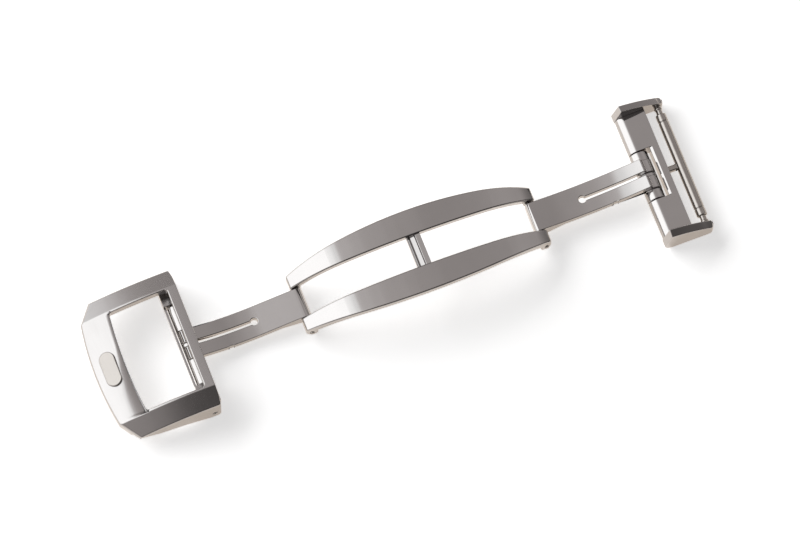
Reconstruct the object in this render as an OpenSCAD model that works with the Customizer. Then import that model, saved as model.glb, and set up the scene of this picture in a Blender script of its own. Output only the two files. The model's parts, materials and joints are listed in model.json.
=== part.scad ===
// Deployant clasp for a leather watch strap, laid open on a table, in millimetres.
// X runs along the clasp from the buckle to the strap bar, Y across it and Z up from the table.
// Sizes below are measured from the middle of the centre frame; place() then puts the
// middle of the whole clasp at the origin.

/* [Strap] */
// Width of the strap end that the cheeks hold
strap_w = 16; // [15:0.5:18]
// Diameter of the sprung strap bar's tube
tube_d = 1.3; // [1.25:0.05:1.5]
// Clear gap between the end bar and the strap bar, where the strap's loop passes
strap_gap = 1.1; // [0.9:0.05:1.6]

/* [Centre frame] */
// Height of the arch above the table at its middle
arch_h = 6.05; // [5.6:0.05:6.6]
// Radius of the arch's long crown, seen from the side
crown_r = 60; // [52:1:80]
// Half the length of the crown
crown_half = 9; // [8:0.25:10]
// Thickness of the rails along the arch
rail_t = 1.1; // [1:0.05:1.3]
// Width over both rails at the middle of the clasp
frame_w = 10.56; // [9.8:0.1:11.2]
// Radius of the rails' bowed outer sides, seen from above
bow_r = 80; // [70:1:120]
// Distance from the middle of the clasp to each inner hinge pin
inner_pin_x = 15.1; // [14.5:0.1:16.5]
// Height of the inner hinge pins above the table
inner_pin_z = 1.3; // [1.25:0.05:1.5]
// Length of a rail past the middle of its hinge pin
rail_end = 0.7; // [0.6:0.05:0.9]

/* [Catch channel] */
// Width of the channel that bridges the rails
channel_w = 1.8; // [1.4:0.1:2.2]
// Depth of the channel's trough
channel_depth = 0.35; // [0.2:0.05:0.4]
// Thickness of the channel's floor
channel_floor = 0.4; // [0.3:0.05:0.5]
// Thickness of each lip of the channel
channel_lip = 0.35; // [0.25:0.05:0.5]
// How far the channel's tab reaches into each rail
tab_reach = 0.6; // [0.3:0.1:1]

/* [Blades] */
// Width of both folding blades
blade_w = 3.8; // [3.2:0.1:4.4]
// Thickness of both folding blades
blade_t = 1.1; // [0.9:0.05:1.2]
// Radius of the blades' bend
blade_r = 55; // [45:1:80]
// Distance between the hinge pins of the buckle's blade
buckle_run = 14.5; // [13.5:0.1:15.5]
// Distance between the hinge pins of the end piece's blade
end_run = 14.6; // [13.5:0.1:15.5]
// Width of the slit that splits each blade into two tines
slit_w = 0.6; // [0.4:0.05:0.9]
// Diameter of the round hole at the inner end of each slit
keyhole_d = 1; // [0.9:0.05:1.3]
// Distance from the inner hinge pin to that round hole
keyhole_x = 6.1; // [4:0.1:8]
// Depth of the small notches in the blades' sides
notch_depth = 0.12; // [0.08:0.01:0.2]

/* [Hinges] */
// Diameter of the hinge pins
pin_d = 0.7; // [0.6:0.05:0.8]
// Radial running clearance around a hinge pin
pin_clear = 0.04; // [0.02:0.01:0.08]
// Running gap at each side of a blade or a barrel
side_gap = 0.1; // [0.06:0.01:0.15]
// Height of the two outer hinge pins above the table
outer_pin_z = 1.25; // [1.25:0.05:1.4]
// Diameter of the buckle blade's barrel
buckle_barrel_d = 1.7; // [1.6:0.05:1.9]
// Length of the buckle blade's barrel
buckle_barrel_l = 10.4; // [8:0.1:12]
// Diameter of the end blade's barrel
end_barrel_d = 2.3; // [2.1:0.05:2.4]
// Length of the end blade's barrel
end_barrel_l = 6.3; // [5:0.1:8]

/* [Buckle] */
// Width of the buckle over its sides
buckle_w = 18.1; // [17.6:0.1:20]
// Width of the buckle's face between its slanted edges
face_w = 13.6; // [13.2:0.1:14.2]
// Height of the buckle above the table at its hinge end
buckle_h = 4.95; // [4.8:0.05:5.6]
// Radius of the buckle's curved face, seen from the side
buckle_r = 34; // [32:1:45]
// Drop of the slanted edges over their width
edge_drop = 1.18; // [0.9:0.02:1.3]
// Thickness of the buckle's plate
plate_t = 1.25; // [1:0.05:1.4]
// Thickness of the buckle's side walls
wall_t = 1.05; // [0.9:0.05:1.3]
// Distance from the buckle's hinge pin forward to its front edge
buckle_reach = 11.9; // [11.4:0.1:13]
// Distance from the buckle's hinge pin back to its hinge end
buckle_back = 0.95; // [0.85:0.05:1.1]
// Width of the buckle's window
window_w = 13; // [12:0.1:13]
// Length of the buckle's window along the clasp
window_l = 7.5; // [6.5:0.1:8]
// Distance from the hinge end to the window
window_back = 1.55; // [1.4:0.05:1.9]
// Length of the plain plaque on the front bar
plaque_l = 4.4; // [3:0.1:6]
// Width of that plaque along the clasp
plaque_w = 1.9; // [1.4:0.1:2.2]
// Thickness of that plaque
plaque_t = 0.35; // [0.2:0.05:0.5]

/* [Cross plate] */
// Gap between the strip and the barrel in front of it
strip_gap = 0.1; // [0.06:0.01:0.2]
// Width of the thin strip that joins the cross plate's two blocks
strip_w = 0.3; // [0.25:0.05:0.4]
// Height of that strip
strip_h = 0.4; // [0.3:0.05:0.6]

/* [End piece] */
// Distance from the end hinge pin to the strap side of the end bar
end_bar_l = 2.65; // [2.5:0.05:3.2]
// Gap left behind the end barrel in its pocket
pocket_gap = 0.65; // [0.4:0.05:0.7]
// Thickness of the two end cheeks
cheek_t = 0.95; // [0.85:0.05:1.2]
// Height of the cheeks' crest above the table
cheek_h = 4.4; // [4.1:0.05:4.8]
// Height of the cheeks' strap end above the table
cheek_tail_h = 2; // [1.9:0.05:2.4]
// Radius of the cheeks' rounded top
cheek_r = 13.5; // [11:0.5:20]
// Slope of the cheeks' top towards the outside, in degrees
cheek_slope = 21; // [10:1:30]
// Width of the strap peg in the middle of the end bar
peg_w = 0.7; // [0.6:0.05:1]
// Height of the strap peg
peg_h = 0.8; // [0.6:0.05:0.9]
// Diameter of the strap bar's sprung tips
tip_d = 0.8; // [0.7:0.05:0.85]
// How far a tip can be pushed in
tip_travel = 0.55; // [0.4:0.05:0.6]
// Thickness of the tube's wall
tube_wall = 0.15; // [0.12:0.01:0.17]
// Thickness of the spring's wire
wire_d = 0.16; // [0.12:0.01:0.18]
// Number of turns of the spring inside the tube
spring_turns = 14; // [10:1:16]

/* [Hidden] */

// Facets of large arcs and of small rounds, and a length that runs a cut past what it cuts
arc_fn = 720;
round_fn = 64;
past = 20;

// The rails: their gap, and the knuckle around each hinge pin
rail_gap = blade_w + 2 * side_gap;
frame_half = frame_w / 2;
rail_reach = inner_pin_x + rail_end;
knuckle_r = 1.2;
// The crown's centre and its angle at each end
crown_z = arch_h - crown_r;
crown_angle = asin(crown_half / crown_r);
crown_slope = [sin(crown_angle), cos(crown_angle)];
// The tighter end arc leaves the crown without a kink and passes this far over the hinge pin
over_pin = 1.5;
crown_end = [0, crown_z] + crown_r * crown_slope;
fall = [inner_pin_x, inner_pin_z + over_pin] - crown_end;
shoulder_r = -(fall * fall) / (2 * (fall * crown_slope));
shoulder = crown_end - shoulder_r * crown_slope;
// Small steps on the rails' inner walls
step_x = 4.6;
step_l = 0.9;
step_h = 0.5;

// The channel's floor lies just above the rails' underside
channel_z = arch_h - rail_t + 0.1;

// The hinge pins, as points of X and Z
left_pin = [-inner_pin_x, inner_pin_z];
right_pin = [inner_pin_x, inner_pin_z];
buckle_pin = [-inner_pin_x - buckle_run, outer_pin_z];
end_pin = [inner_pin_x + end_run, outer_pin_z];
pin_r = pin_d / 2;
bore_r = pin_r + pin_clear;
pin_bevel = 0.12;

// The blades' inner knuckles
knuckle_half = 0.65;
knuckle_drop = 1.05;
knuckle_bevel = 0.3;
knuckle_l = 2.6;
buckle_barrel_r = buckle_barrel_d / 2;
end_barrel_r = end_barrel_d / 2;
// Height of each blade's top over its inner pin, and over its barrel at the outer one
left_over_pin = 0.95;
left_over_barrel = 0.1;
right_over_pin = 1.05;
right_over_barrel = 1.27;
left_top = [buckle_pin + [0, buckle_barrel_r + left_over_barrel], left_pin + [0, left_over_pin]];
right_top = [right_pin + [0, right_over_pin], end_pin + [0, end_barrel_r + right_over_barrel]];
// How far the left tines run past the axis, and the run and rise of the right tines' ends
tine_lap = 0.35;
tine_slope = [0.6, 2];
tine_sink = 0.05;
heel_lap = 0.2;
// Place and length of the small notches in the blades' sides
notch_x = 9.7;
notch_l = 1;

// The buckle's plan
buckle_half = buckle_w / 2;
face_half = face_w / 2;
buckle_x0 = buckle_pin.x - buckle_reach;
buckle_x1 = buckle_pin.x + buckle_back;
front_bow_r = 40;
corner_x = 2.35;
corner_y = 3.15;
window_x1 = buckle_x1 - window_back;
window_x0 = window_x1 - window_l;
window_bow_r = 57;
// Its slanted edges, and the foot of its side walls around the hinge
edge_angle = atan(edge_drop / (buckle_half - face_half));
// The walls' lower edge: distance ahead of the hinge pin and height above the table,
// then its height at the front corners, and just ahead of the front edge
wall_edge = [[6.8, 1.05], [3.8, 0.75], [1.6, 0.25], [0.7, 0]];
corner_edge_z = 1.9;
front_edge_z = 0.6;
front_past = 1;
wall_in = buckle_half - wall_t;
foot_r = outer_pin_z;
// The pin stops short of the walls' outer faces
pin_recess = 0.3;
// The plaque lies on the middle of the front bar
plaque_x = (buckle_x0 + window_x0) / 2;
plaque_angle = asin((buckle_x1 - plaque_x) / buckle_r);

// The cross plate's strip and blocks
strip_x1 = buckle_pin.x - buckle_barrel_r - strip_gap;
strip_x0 = strip_x1 - strip_w;
block_in = buckle_barrel_l / 2 + side_gap;
block_rise = 1.1;
block_top = outer_pin_z + block_rise;
block_foot = 0.1;
pocket_round = 0.3;

// The end bar, its pocket and its ledge
end_bar_x1 = end_pin.x + end_bar_l;
end_bar_r = outer_pin_z - 0.1;
pocket_half = end_barrel_l / 2 + side_gap;
pocket_x1 = end_pin.x + end_barrel_r + pocket_gap;
ledge_l = 0.3;
ledge_h = 0.5;

// The strap bar behind the end bar, and the cheeks that hold it
tube_r = tube_d / 2;
bar_axis = [end_bar_x1 + strap_gap + tube_r, outer_pin_z + 0.05];
cheek_in = strap_w / 2;
cheek_x1 = bar_axis.x + tube_r + 0.15;
cheek_crest = [end_pin.x - 0.4, cheek_h];
cheek_tail = [cheek_x1, cheek_tail_h];
cheek_tail_r = 0.9;
pin_seat = 0.6;
// The sprung tips: shaft, head inside the tube, and collar outside it
tip_r = tip_d / 2;
tip_clear = 0.04;
tip_seat = 0.5;
head_r = tube_r - tube_wall - tip_clear;
head_l = 0.6;
lip_l = 0.3;
collar_r = tip_r + 0.1;
collar_l = 0.3;
collar_gap = 0.2;
tube_half = cheek_in - collar_gap - collar_l - tip_travel - 0.05;
head_y = tube_half - lip_l;
// The spring between the two heads
spring_r = head_r - wire_d / 2;
spring_half = head_y - head_l - wire_d / 2;
spring_sides = 6;
spring_steps = 8;
// Shallow grooves rolled into the tube near its ends
groove_inset = 1;
groove_y = tube_half - groove_inset;
groove_w = 0.12;
groove_depth = 0.04;

// Working clearance of the peg around the tube
peg_clear = 0.05;
peg_tenon_r = 0.25;

STEEL = [0.74, 0.73, 0.72];
BRUSHED = [0.66, 0.65, 0.63];
PIN_STEEL = [0.56, 0.55, 0.54];
SPRING_STEEL = [0.45, 0.45, 0.47];

// Centre of a circle of radius r that bends upwards through two points, left one first
function bend_centre(ends, r) =
    let (span = ends[1] - ends[0], half = norm(span) / 2)
    (ends[0] + ends[1]) / 2 + sqrt(r * r - half * half) * [-span.y, span.x] / norm(span);

// Centre of a circle of radius r that bulges upwards through two points, left one first
function crest_centre(ends, r) =
    let (span = ends[1] - ends[0], half = norm(span) / 2)
    (ends[0] + ends[1]) / 2 - sqrt(r * r - half * half) * [-span.y, span.x] / norm(span);

// Puts the middle of the whole clasp at the origin
module place() {
    translate([-(buckle_x0 + cheek_x1) / 2, 0, 0]) children();
}

// Turns an outline drawn in X and Z into a solid from y0 to y1
module across(y0, y1) {
    translate([0, y1, 0]) rotate([90, 0, 0]) linear_extrude(y1 - y0) children();
}

// Turns an outline drawn in X and Y into a tall solid
module upright() {
    translate([0, 0, -past]) linear_extrude(2 * past) children();
}

// A round bar along Y about a point of X and Z
module cross_bar(at, r, y0, y1) {
    translate([at.x, y0, at.y]) rotate([-90, 0, 0]) cylinder(r = r, h = y1 - y0, $fn = round_fn);
}

// A disc of one of the large arcs
module disc(at, r) {
    translate(at) circle(r = r, $fn = arc_fn);
}

// A disc of one of the small rounds
module round(at, r) {
    translate(at) circle(r = r, $fn = round_fn);
}

// A rectangle between two opposite corners
module box2(low, high) {
    translate(low) square(high - low);
}

// Everything under a surface that is an arc from the side and slants down towards one side.
// The surface passes over the crest point at the distance y from the clasp's middle.
module under_slant(side, crest, y, r, angle, inset) {
    lean_r = r / cos(angle);
    translate([crest.x, side * y, crest.y]) rotate([-side * angle, 0, 0])
        translate([0, 0, -lean_r]) rotate([90, 0, 0])
            cylinder(r = lean_r - inset, h = 4 * past, center = true, $fn = arc_fn);
}

// Everything below the arch's top, or below the same arch set in by a thickness
module under_arch(inset) {
    half = (crown_r - inset) * crown_slope.x;
    intersection() {
        disc([0, crown_z], crown_r - inset);
        box2([-half, -past], [half, past]);
    }
    for (side = [-1, 1]) disc([side * shoulder.x, shoulder.y], shoulder_r - inset);
}

// Side view of a rail: the arch band, with a knuckle around each hinge pin
module rail_outline() {
    intersection() {
        box2([-rail_reach, 0], [rail_reach, past]);
        union() {
            difference() {
                under_arch(0);
                under_arch(rail_t);
                box2([-past, -past], [past, inner_pin_z]);
            }
            for (pin = [left_pin, right_pin]) round(pin, knuckle_r);
        }
    }
}

// A rail on the far side, 1, or the near side, -1
module rail(side) {
    inner = rail_gap / 2;
    difference() {
        intersection() {
            across(-frame_half, frame_half) rail_outline();
            upright() intersection() {
                disc([0, side * (frame_half - bow_r)], bow_r);
                box2([-past, min(side * inner, side * frame_half)],
                    [past, max(side * inner, side * frame_half)]);
            }
        }
        for (pin = [left_pin, right_pin]) cross_bar(pin, pin_r, -frame_w, frame_w);
        channel_tab();
    }
    for (end = [-1, 1])
        translate([end * step_x - step_l / 2, side > 0 ? inner - side_gap / 2 : -inner, arch_h - rail_t])
            cube([step_l, side_gap / 2, step_h]);
}

// The channel's floor, long enough to reach into both rails
module channel_tab() {
    width = channel_w - 2 * channel_lip;
    half = rail_gap / 2 + tab_reach;
    translate([-width / 2, -half, channel_z]) cube([width, 2 * half, channel_floor]);
}

module far_rail() {
    color(STEEL) place() rail(1);
}

module near_rail() {
    color(STEEL) place() rail(-1);
}

// A shallow trough between the rails, with a lip on each side
module catch_channel() {
    color(STEEL) place() {
        channel_tab();
        across(-rail_gap / 2, rail_gap / 2) difference() {
            box2([-channel_w / 2, channel_z], [channel_w / 2, channel_z + channel_floor + channel_depth]);
            box2([channel_lip - channel_w / 2, channel_z + channel_floor],
                [channel_w / 2 - channel_lip, past]);
        }
    }
}

// A pin through both rails and a blade's knuckle, with a bevelled end on each side
module frame_pin(pin) {
    half = frame_half - bow_r + sqrt(bow_r * bow_r - pin.x * pin.x);
    color(PIN_STEEL) place() {
        cross_bar(pin, pin_r, -half, half);
        for (side = [-1, 1]) translate([pin.x, side * half, pin.y]) rotate([-side * 90, 0, 0])
            cylinder(r1 = pin_r, r2 = pin_r - pin_bevel, h = pin_bevel, $fn = round_fn);
    }
}

module left_frame_pin() {
    frame_pin(left_pin);
}

module right_frame_pin() {
    frame_pin(right_pin);
}

// Side view of a blade: a bent strip from x0 to x1 under the circle through its ends, with what
// is added below that circle, and a block around the inner pin that thins into the strip.
// side is 1 where the blade runs to the right and -1 where it runs to the left.
module blade_outline(pin, ends, side, x0, x1) {
    centre = bend_centre(ends, blade_r);
    crown = knuckle_drop + 1;
    difference() {
        union() {
            intersection() {
                disc(centre, blade_r + blade_t);
                box2([x0, -past], [x1, past]);
            }
            polygon([pin + [-side * knuckle_half, knuckle_bevel - knuckle_drop],
                pin + [-side * (knuckle_half - knuckle_bevel), -knuckle_drop],
                pin + [side * knuckle_half, -knuckle_drop],
                pin + [side * knuckle_l, -blade_t / 2],
                pin + [side * knuckle_l, crown],
                pin + [-side * knuckle_half, crown]]);
            children();
        }
        disc(centre, blade_r);
    }
}

// What is cut from a blade: the pin's bore, the slit with its round hole, and the side notches
module blade_cuts(pin, side, slit_end) {
    hole_x = pin.x + side * keyhole_x;
    mark_x = pin.x + side * notch_x;
    cross_bar(pin, bore_r, -past, past);
    translate([hole_x, 0, -past]) cylinder(d = keyhole_d, h = 2 * past, $fn = round_fn);
    upright() {
        box2([min(hole_x, slit_end), -slit_w / 2], [max(hole_x, slit_end), slit_w / 2]);
        for (edge = [-1, 1]) translate([mark_x, edge * blade_w / 2])
            square([notch_l, 2 * notch_depth], center = true);
    }
}

// The blade that carries the buckle: two tines lap over a long thin barrel
module left_blade() {
    tip_x = buckle_pin.x - tine_lap;
    color(STEEL) place() difference() {
        union() {
            difference() {
                across(-blade_w / 2, blade_w / 2)
                    blade_outline(left_pin, left_top, -1, tip_x, left_pin.x);
                blade_cuts(left_pin, -1, tip_x - 1);
            }
            cross_bar(buckle_pin, buckle_barrel_r, -buckle_barrel_l / 2, buckle_barrel_l / 2);
        }
        cross_bar(buckle_pin, bore_r, -past, past);
    }
}

// The blade that carries the end piece: two tines rest on top of a short thick barrel,
// and their ends slope down onto it
module right_blade() {
    heel_x = end_pin.x - end_barrel_r + heel_lap;
    color(STEEL) place() difference() {
        union() {
            difference() {
                across(-blade_w / 2, blade_w / 2)
                    blade_outline(right_pin, right_top, 1, right_pin.x, heel_x)
                        polygon([[heel_x, end_pin.y], end_pin, end_pin + [0, end_barrel_r - tine_sink],
                            end_pin + [-tine_slope.x, end_barrel_r + tine_slope.y],
                            [heel_x, end_pin.y + end_barrel_r + tine_slope.y]]);
                blade_cuts(right_pin, 1, end_pin.x);
            }
            cross_bar(end_pin, end_barrel_r, -end_barrel_l / 2, end_barrel_l / 2);
        }
        cross_bar(end_pin, bore_r, -past, past);
    }
}

// Everything under the buckle's curved face and slanted edges, set in by a thickness
module under_face(inset) {
    crest = [buckle_x1, buckle_h];
    intersection() {
        across(-past, past) disc(crest - [0, buckle_r], buckle_r - inset);
        under_slant(1, crest, face_half, buckle_r, edge_angle, inset);
        under_slant(-1, crest, face_half, buckle_r, edge_angle, inset);
    }
}

// The buckle from above, with its bowed front edge and cut front corners
module buckle_plan() {
    front = buckle_x0 - front_past;
    corner = [buckle_x0 + corner_x, buckle_half];
    front_y = corner.y - (corner.x - front) * corner_y / corner_x;
    intersection() {
        disc([buckle_x0 + front_bow_r, 0], front_bow_r);
        polygon([[buckle_x1, -buckle_half], [buckle_x1, buckle_half], corner, [front, front_y],
            [front, -front_y], [corner.x, -corner.y]]);
    }
}

// The buckle's walls from the side: they thin out forwards and end round under the hinge pin
module wall_outline() {
    front = buckle_x0 - front_past;
    polygon(concat(
        [[front, front_edge_z], [buckle_x0 + corner_x, corner_edge_z]],
        [for (point = wall_edge) [buckle_pin.x - point.x, point.y]],
        [[buckle_pin.x, 0], buckle_pin + [foot_r, 0], buckle_pin + [foot_r, past], [front, past]]));
    round(buckle_pin, foot_r);
}

// The buckle: a curved plate with a window, slanted edges and side walls
module buckle_frame() {
    color(BRUSHED) place() difference() {
        intersection() {
            under_face(0);
            upright() buckle_plan();
            across(-buckle_half, buckle_half) difference() {
                wall_outline();
                difference() {
                    box2([buckle_pin.x, 0], [buckle_pin.x + past, outer_pin_z]);
                    round(buckle_pin, foot_r);
                }
            }
        }
        intersection() {
            under_face(plate_t);
            upright() box2([-4 * past, -wall_in], [4 * past, wall_in]);
        }
        upright() intersection() {
            box2([window_x0, -window_w / 2], [window_x1, window_w / 2]);
            disc([window_x0 + window_bow_r, 0], window_bow_r);
        }
        cross_bar(buckle_pin, pin_r, -past, past);
    }
}

// The cross plate: a block beside each end of the barrel, joined by a thin strip
module buckle_cross_plate() {
    color(BRUSHED) place() difference() {
        union() {
            for (side = [-1, 1])
                across(side > 0 ? block_in : -wall_in, side > 0 ? wall_in : -block_in)
                    intersection() {
                        box2([strip_x0, block_foot], [buckle_pin.x + foot_r, block_top]);
                        union() {
                            box2([strip_x0, outer_pin_z - 0.2], [buckle_x1 - 0.1, block_top]);
                            round(buckle_pin, outer_pin_z - block_foot);
                        }
                    }
            translate([strip_x0, -wall_in, outer_pin_z]) cube([strip_w, 2 * wall_in, strip_h]);
            for (side = [-1, 1]) translate([0, 0, outer_pin_z]) linear_extrude(strip_h) difference() {
                translate([strip_x1 + pocket_round / 2, side * (block_in - pocket_round / 2)])
                    square(pocket_round, center = true);
                round([strip_x1 + pocket_round, side * (block_in - pocket_round)], pocket_round);
            }
        }
        cross_bar(buckle_pin, pin_r, -past, past);
    }
}

module buckle_hinge_pin() {
    half = buckle_half - pin_recess;
    color(PIN_STEEL) place() cross_bar(buckle_pin, pin_r, -half, half);
}

// A plain round-ended plaque that follows the curve of the front bar
module buckle_plaque() {
    centre = [buckle_x1, buckle_h - buckle_r];
    straight = (plaque_l - plaque_w) / 2;
    color(STEEL) place() intersection() {
        across(-plaque_l, plaque_l) difference() {
            disc(centre, buckle_r + plaque_t);
            disc(centre, buckle_r);
        }
        translate([centre.x, 0, centre.y]) rotate([0, -plaque_angle, 0]) linear_extrude(buckle_r + past) {
            square([plaque_w, 2 * straight], center = true);
            for (side = [-1, 1]) round([0, side * straight], plaque_w / 2);
        }
    }
}

// The end bar: half round at the hinge, with a pocket for the end blade's barrel
module end_bar() {
    color(STEEL) place() difference() {
        across(-cheek_in, cheek_in) {
            round(end_pin, end_bar_r);
            box2(end_pin - [0, end_bar_r], [end_bar_x1, end_pin.y + end_bar_r]);
        }
        across(-pocket_half, pocket_half) {
            box2([end_pin.x - past, -past], [pocket_x1 - ledge_l, past]);
            box2([end_pin.x, end_pin.y - end_bar_r + ledge_h], [pocket_x1, past]);
        }
        cross_bar(end_pin, pin_r, -past, past);
        translate([end_bar_x1 - pin_seat, 0, bar_axis.y]) rotate([0, 90, 0])
            cylinder(r = peg_tenon_r, h = past, $fn = round_fn);
    }
}

// Side view of a cheek: a wedge that is round at the hinge and at the strap end
module cheek_outline() {
    tail = [cheek_x1 - cheek_tail_r, cheek_tail_r];
    round(end_pin, outer_pin_z);
    round(tail, cheek_tail_r);
    polygon([[end_pin.x, 0], [tail.x, 0], tail, [cheek_x1, tail.y], [cheek_x1, past], [cheek_crest.x, past],
        cheek_crest, end_pin + [-outer_pin_z * cos(10), outer_pin_z * sin(10)], end_pin]);
}

// A cheek on the far side, 1, or the near side, -1, with blind seats for the pin and the tip
module cheek(side) {
    outer = cheek_in + cheek_t;
    crest = crest_centre([cheek_crest, cheek_tail], cheek_r) + [0, cheek_r];
    color(STEEL) place() difference() {
        intersection() {
            across(side > 0 ? cheek_in : -outer, side > 0 ? outer : -cheek_in) cheek_outline();
            under_slant(side, crest, cheek_in, cheek_r, cheek_slope, 0);
        }
        cross_bar(end_pin, pin_r, -cheek_in - pin_seat, cheek_in + pin_seat);
        cross_bar(bar_axis, tip_r + tip_clear, -cheek_in - pin_seat, cheek_in + pin_seat);
    }
}

module end_cheek_far() {
    cheek(1);
}

module end_cheek_near() {
    cheek(-1);
}

module end_hinge_pin() {
    half = cheek_in + pin_seat;
    color(PIN_STEEL) place() cross_bar(end_pin, pin_r, -half, half);
}

// The peg that steadies the middle of the strap bar, held by a tenon in the end bar
module strap_peg() {
    color(STEEL) place() difference() {
        union() {
            translate([end_bar_x1, -peg_w / 2, bar_axis.y - peg_h / 2])
                cube([bar_axis.x - end_bar_x1, peg_w, peg_h]);
            translate([end_bar_x1 - pin_seat, 0, bar_axis.y]) rotate([0, 90, 0])
                cylinder(r = peg_tenon_r, h = pin_seat, $fn = round_fn);
        }
        cross_bar(bar_axis, tube_r + peg_clear, -past, past);
        translate([bar_axis.x - tube_r / 2, -past, -past]) cube(2 * past);
    }
}

// The strap bar's tube, with a lip at each end that keeps the tips in
module strap_bar_tube() {
    color(STEEL) place() difference() {
        cross_bar(bar_axis, tube_r, -tube_half, tube_half);
        cross_bar(bar_axis, tube_r - tube_wall, -head_y, head_y);
        cross_bar(bar_axis, tip_r + tip_clear, -past, past);
        for (side = [-1, 1]) translate([bar_axis.x, side * groove_y, bar_axis.y]) rotate([90, 0, 0])
            rotate_extrude($fn = round_fn)
                translate([tube_r - groove_depth, -groove_w / 2]) square([1, groove_w]);
    }
}

// Rings of the coil's wire along its helix, each a point list around the wire
function coil_point(turn, side) =
    let (around = 360 * turn, lean = 360 * side / spring_sides, reach = spring_r + wire_d / 2 * cos(lean))
    [reach * cos(around),
     -spring_half + 2 * spring_half * turn / spring_turns + wire_d / 2 * sin(lean),
     reach * sin(around)];

// The coil spring that pushes both tips outwards
module strap_bar_spring() {
    rings = spring_turns * spring_steps;
    points = [for (i = [0:rings], k = [0:spring_sides - 1]) coil_point(i / spring_steps, k)];
    faces = concat(
        [[for (k = [0:spring_sides - 1]) k]],
        [[for (k = [spring_sides - 1:-1:0]) rings * spring_sides + k]],
        [for (i = [0:rings - 1], k = [0:spring_sides - 1], half = [0, 1])
            let (a = i * spring_sides + k, b = i * spring_sides + (k + 1) % spring_sides)
            half == 0 ? [a, a + spring_sides, b] : [b, a + spring_sides, b + spring_sides]]);
    color(SPRING_STEEL) place() translate([bar_axis.x, 0, bar_axis.y]) polyhedron(points, faces);
}

// A sprung tip: head in the tube, shaft through its lip, collar, and an end in the cheek
module tip(side) {
    color(PIN_STEEL) place() translate([bar_axis.x, 0, bar_axis.y]) rotate([-side * 90, 0, 0]) {
        translate([0, 0, head_y - head_l]) cylinder(r = head_r, h = head_l, $fn = round_fn);
        translate([0, 0, head_y - head_l])
            cylinder(r = tip_r, h = cheek_in + tip_seat - head_y + head_l, $fn = round_fn);
        translate([0, 0, cheek_in - collar_gap - collar_l])
            cylinder(r = collar_r, h = collar_l, $fn = round_fn);
    }
}

module strap_bar_tip_far() {
    tip(1);
}

module strap_bar_tip_near() {
    tip(-1);
}

far_rail();
near_rail();
catch_channel();
left_frame_pin();
right_frame_pin();
left_blade();
buckle_frame();
buckle_cross_plate();
buckle_hinge_pin();
buckle_plaque();
right_blade();
end_bar();
end_cheek_far();
end_cheek_near();
end_hinge_pin();
strap_peg();
strap_bar_tube();
strap_bar_spring();
strap_bar_tip_far();
strap_bar_tip_near();
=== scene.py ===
# Deployant clasp for a leather watch strap, laid open on a white table: the shapes and finishes
# of its pieces, the table and the light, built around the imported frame.
# Shapes are worked out in millimetres from the middle of the centre frame, with Z up from the
# table, and finish_piece() turns them into metres in the clasp's own frame.
import json
from math import asin, atan2, cos, hypot, pi, radians, sin, sqrt, tan

import bmesh
import bpy
from mathutils import Matrix, Vector


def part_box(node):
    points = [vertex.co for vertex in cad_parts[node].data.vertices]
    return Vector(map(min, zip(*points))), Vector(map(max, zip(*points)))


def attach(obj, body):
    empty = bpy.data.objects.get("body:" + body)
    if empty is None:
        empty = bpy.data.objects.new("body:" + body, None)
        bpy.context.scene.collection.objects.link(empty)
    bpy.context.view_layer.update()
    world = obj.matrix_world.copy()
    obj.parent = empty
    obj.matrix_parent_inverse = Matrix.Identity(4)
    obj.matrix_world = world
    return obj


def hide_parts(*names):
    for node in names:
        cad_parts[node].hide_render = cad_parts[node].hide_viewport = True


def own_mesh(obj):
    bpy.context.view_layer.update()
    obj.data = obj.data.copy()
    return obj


bl_info = {
    "name": "Deployant clasp",
    "version": (1, 0, 0),
    "blender": (4, 5, 0),
    "location": "View3D > Sidebar > Clasp",
    "description": "Builds a polished steel deployant clasp, its finishes, table and light",
    "category": "Add Mesh",
}

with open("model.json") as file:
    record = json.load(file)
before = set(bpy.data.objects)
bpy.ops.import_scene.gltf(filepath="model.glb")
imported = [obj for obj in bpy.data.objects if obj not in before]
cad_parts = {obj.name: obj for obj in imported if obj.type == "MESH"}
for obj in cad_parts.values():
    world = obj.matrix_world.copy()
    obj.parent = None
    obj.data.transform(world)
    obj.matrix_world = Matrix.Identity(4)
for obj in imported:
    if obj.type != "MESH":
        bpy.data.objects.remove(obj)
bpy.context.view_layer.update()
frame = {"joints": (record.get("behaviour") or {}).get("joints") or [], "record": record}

MM = 0.001
MIDDLE_X = sum(corner.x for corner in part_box("far_rail")) / 2


def span(node):
    """Lowest and highest corner of a CAD node, in millimetres from the middle of the frame."""
    return [(corner - Vector((MIDDLE_X, 0, 0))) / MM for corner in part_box(node)]


def joint_axis(name):
    """Where a hinge's axis passes, as X and Z in millimetres from the middle of the frame."""
    at = next(joint["pos_m"] for joint in frame["joints"] if joint["name"] == name)
    return Vector(((at[0] - MIDDLE_X) / MM, at[2] / MM))


LEFT_PIN = joint_axis("left_fold")
RIGHT_PIN = joint_axis("right_fold")
BUCKLE_PIN = joint_axis("buckle_pivot")
END_PIN = joint_axis("end_pivot")
BAR_AXIS = joint_axis("strap_bar_spin")
ARCH_TOP = span("far_rail")[1].z


def length(name, description, default):
    """A length property, given in millimetres and kept in metres."""
    return bpy.props.FloatProperty(name=name, description=description, default=default * MM,
                                   min=0, unit="LENGTH", precision=5)


def colour(name, description, default):
    """A colour property, with red, green and blue from 0 to 1."""
    return bpy.props.FloatVectorProperty(name=name, description=description, default=default,
                                         subtype="COLOR", size=3, min=0, max=1)


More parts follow.
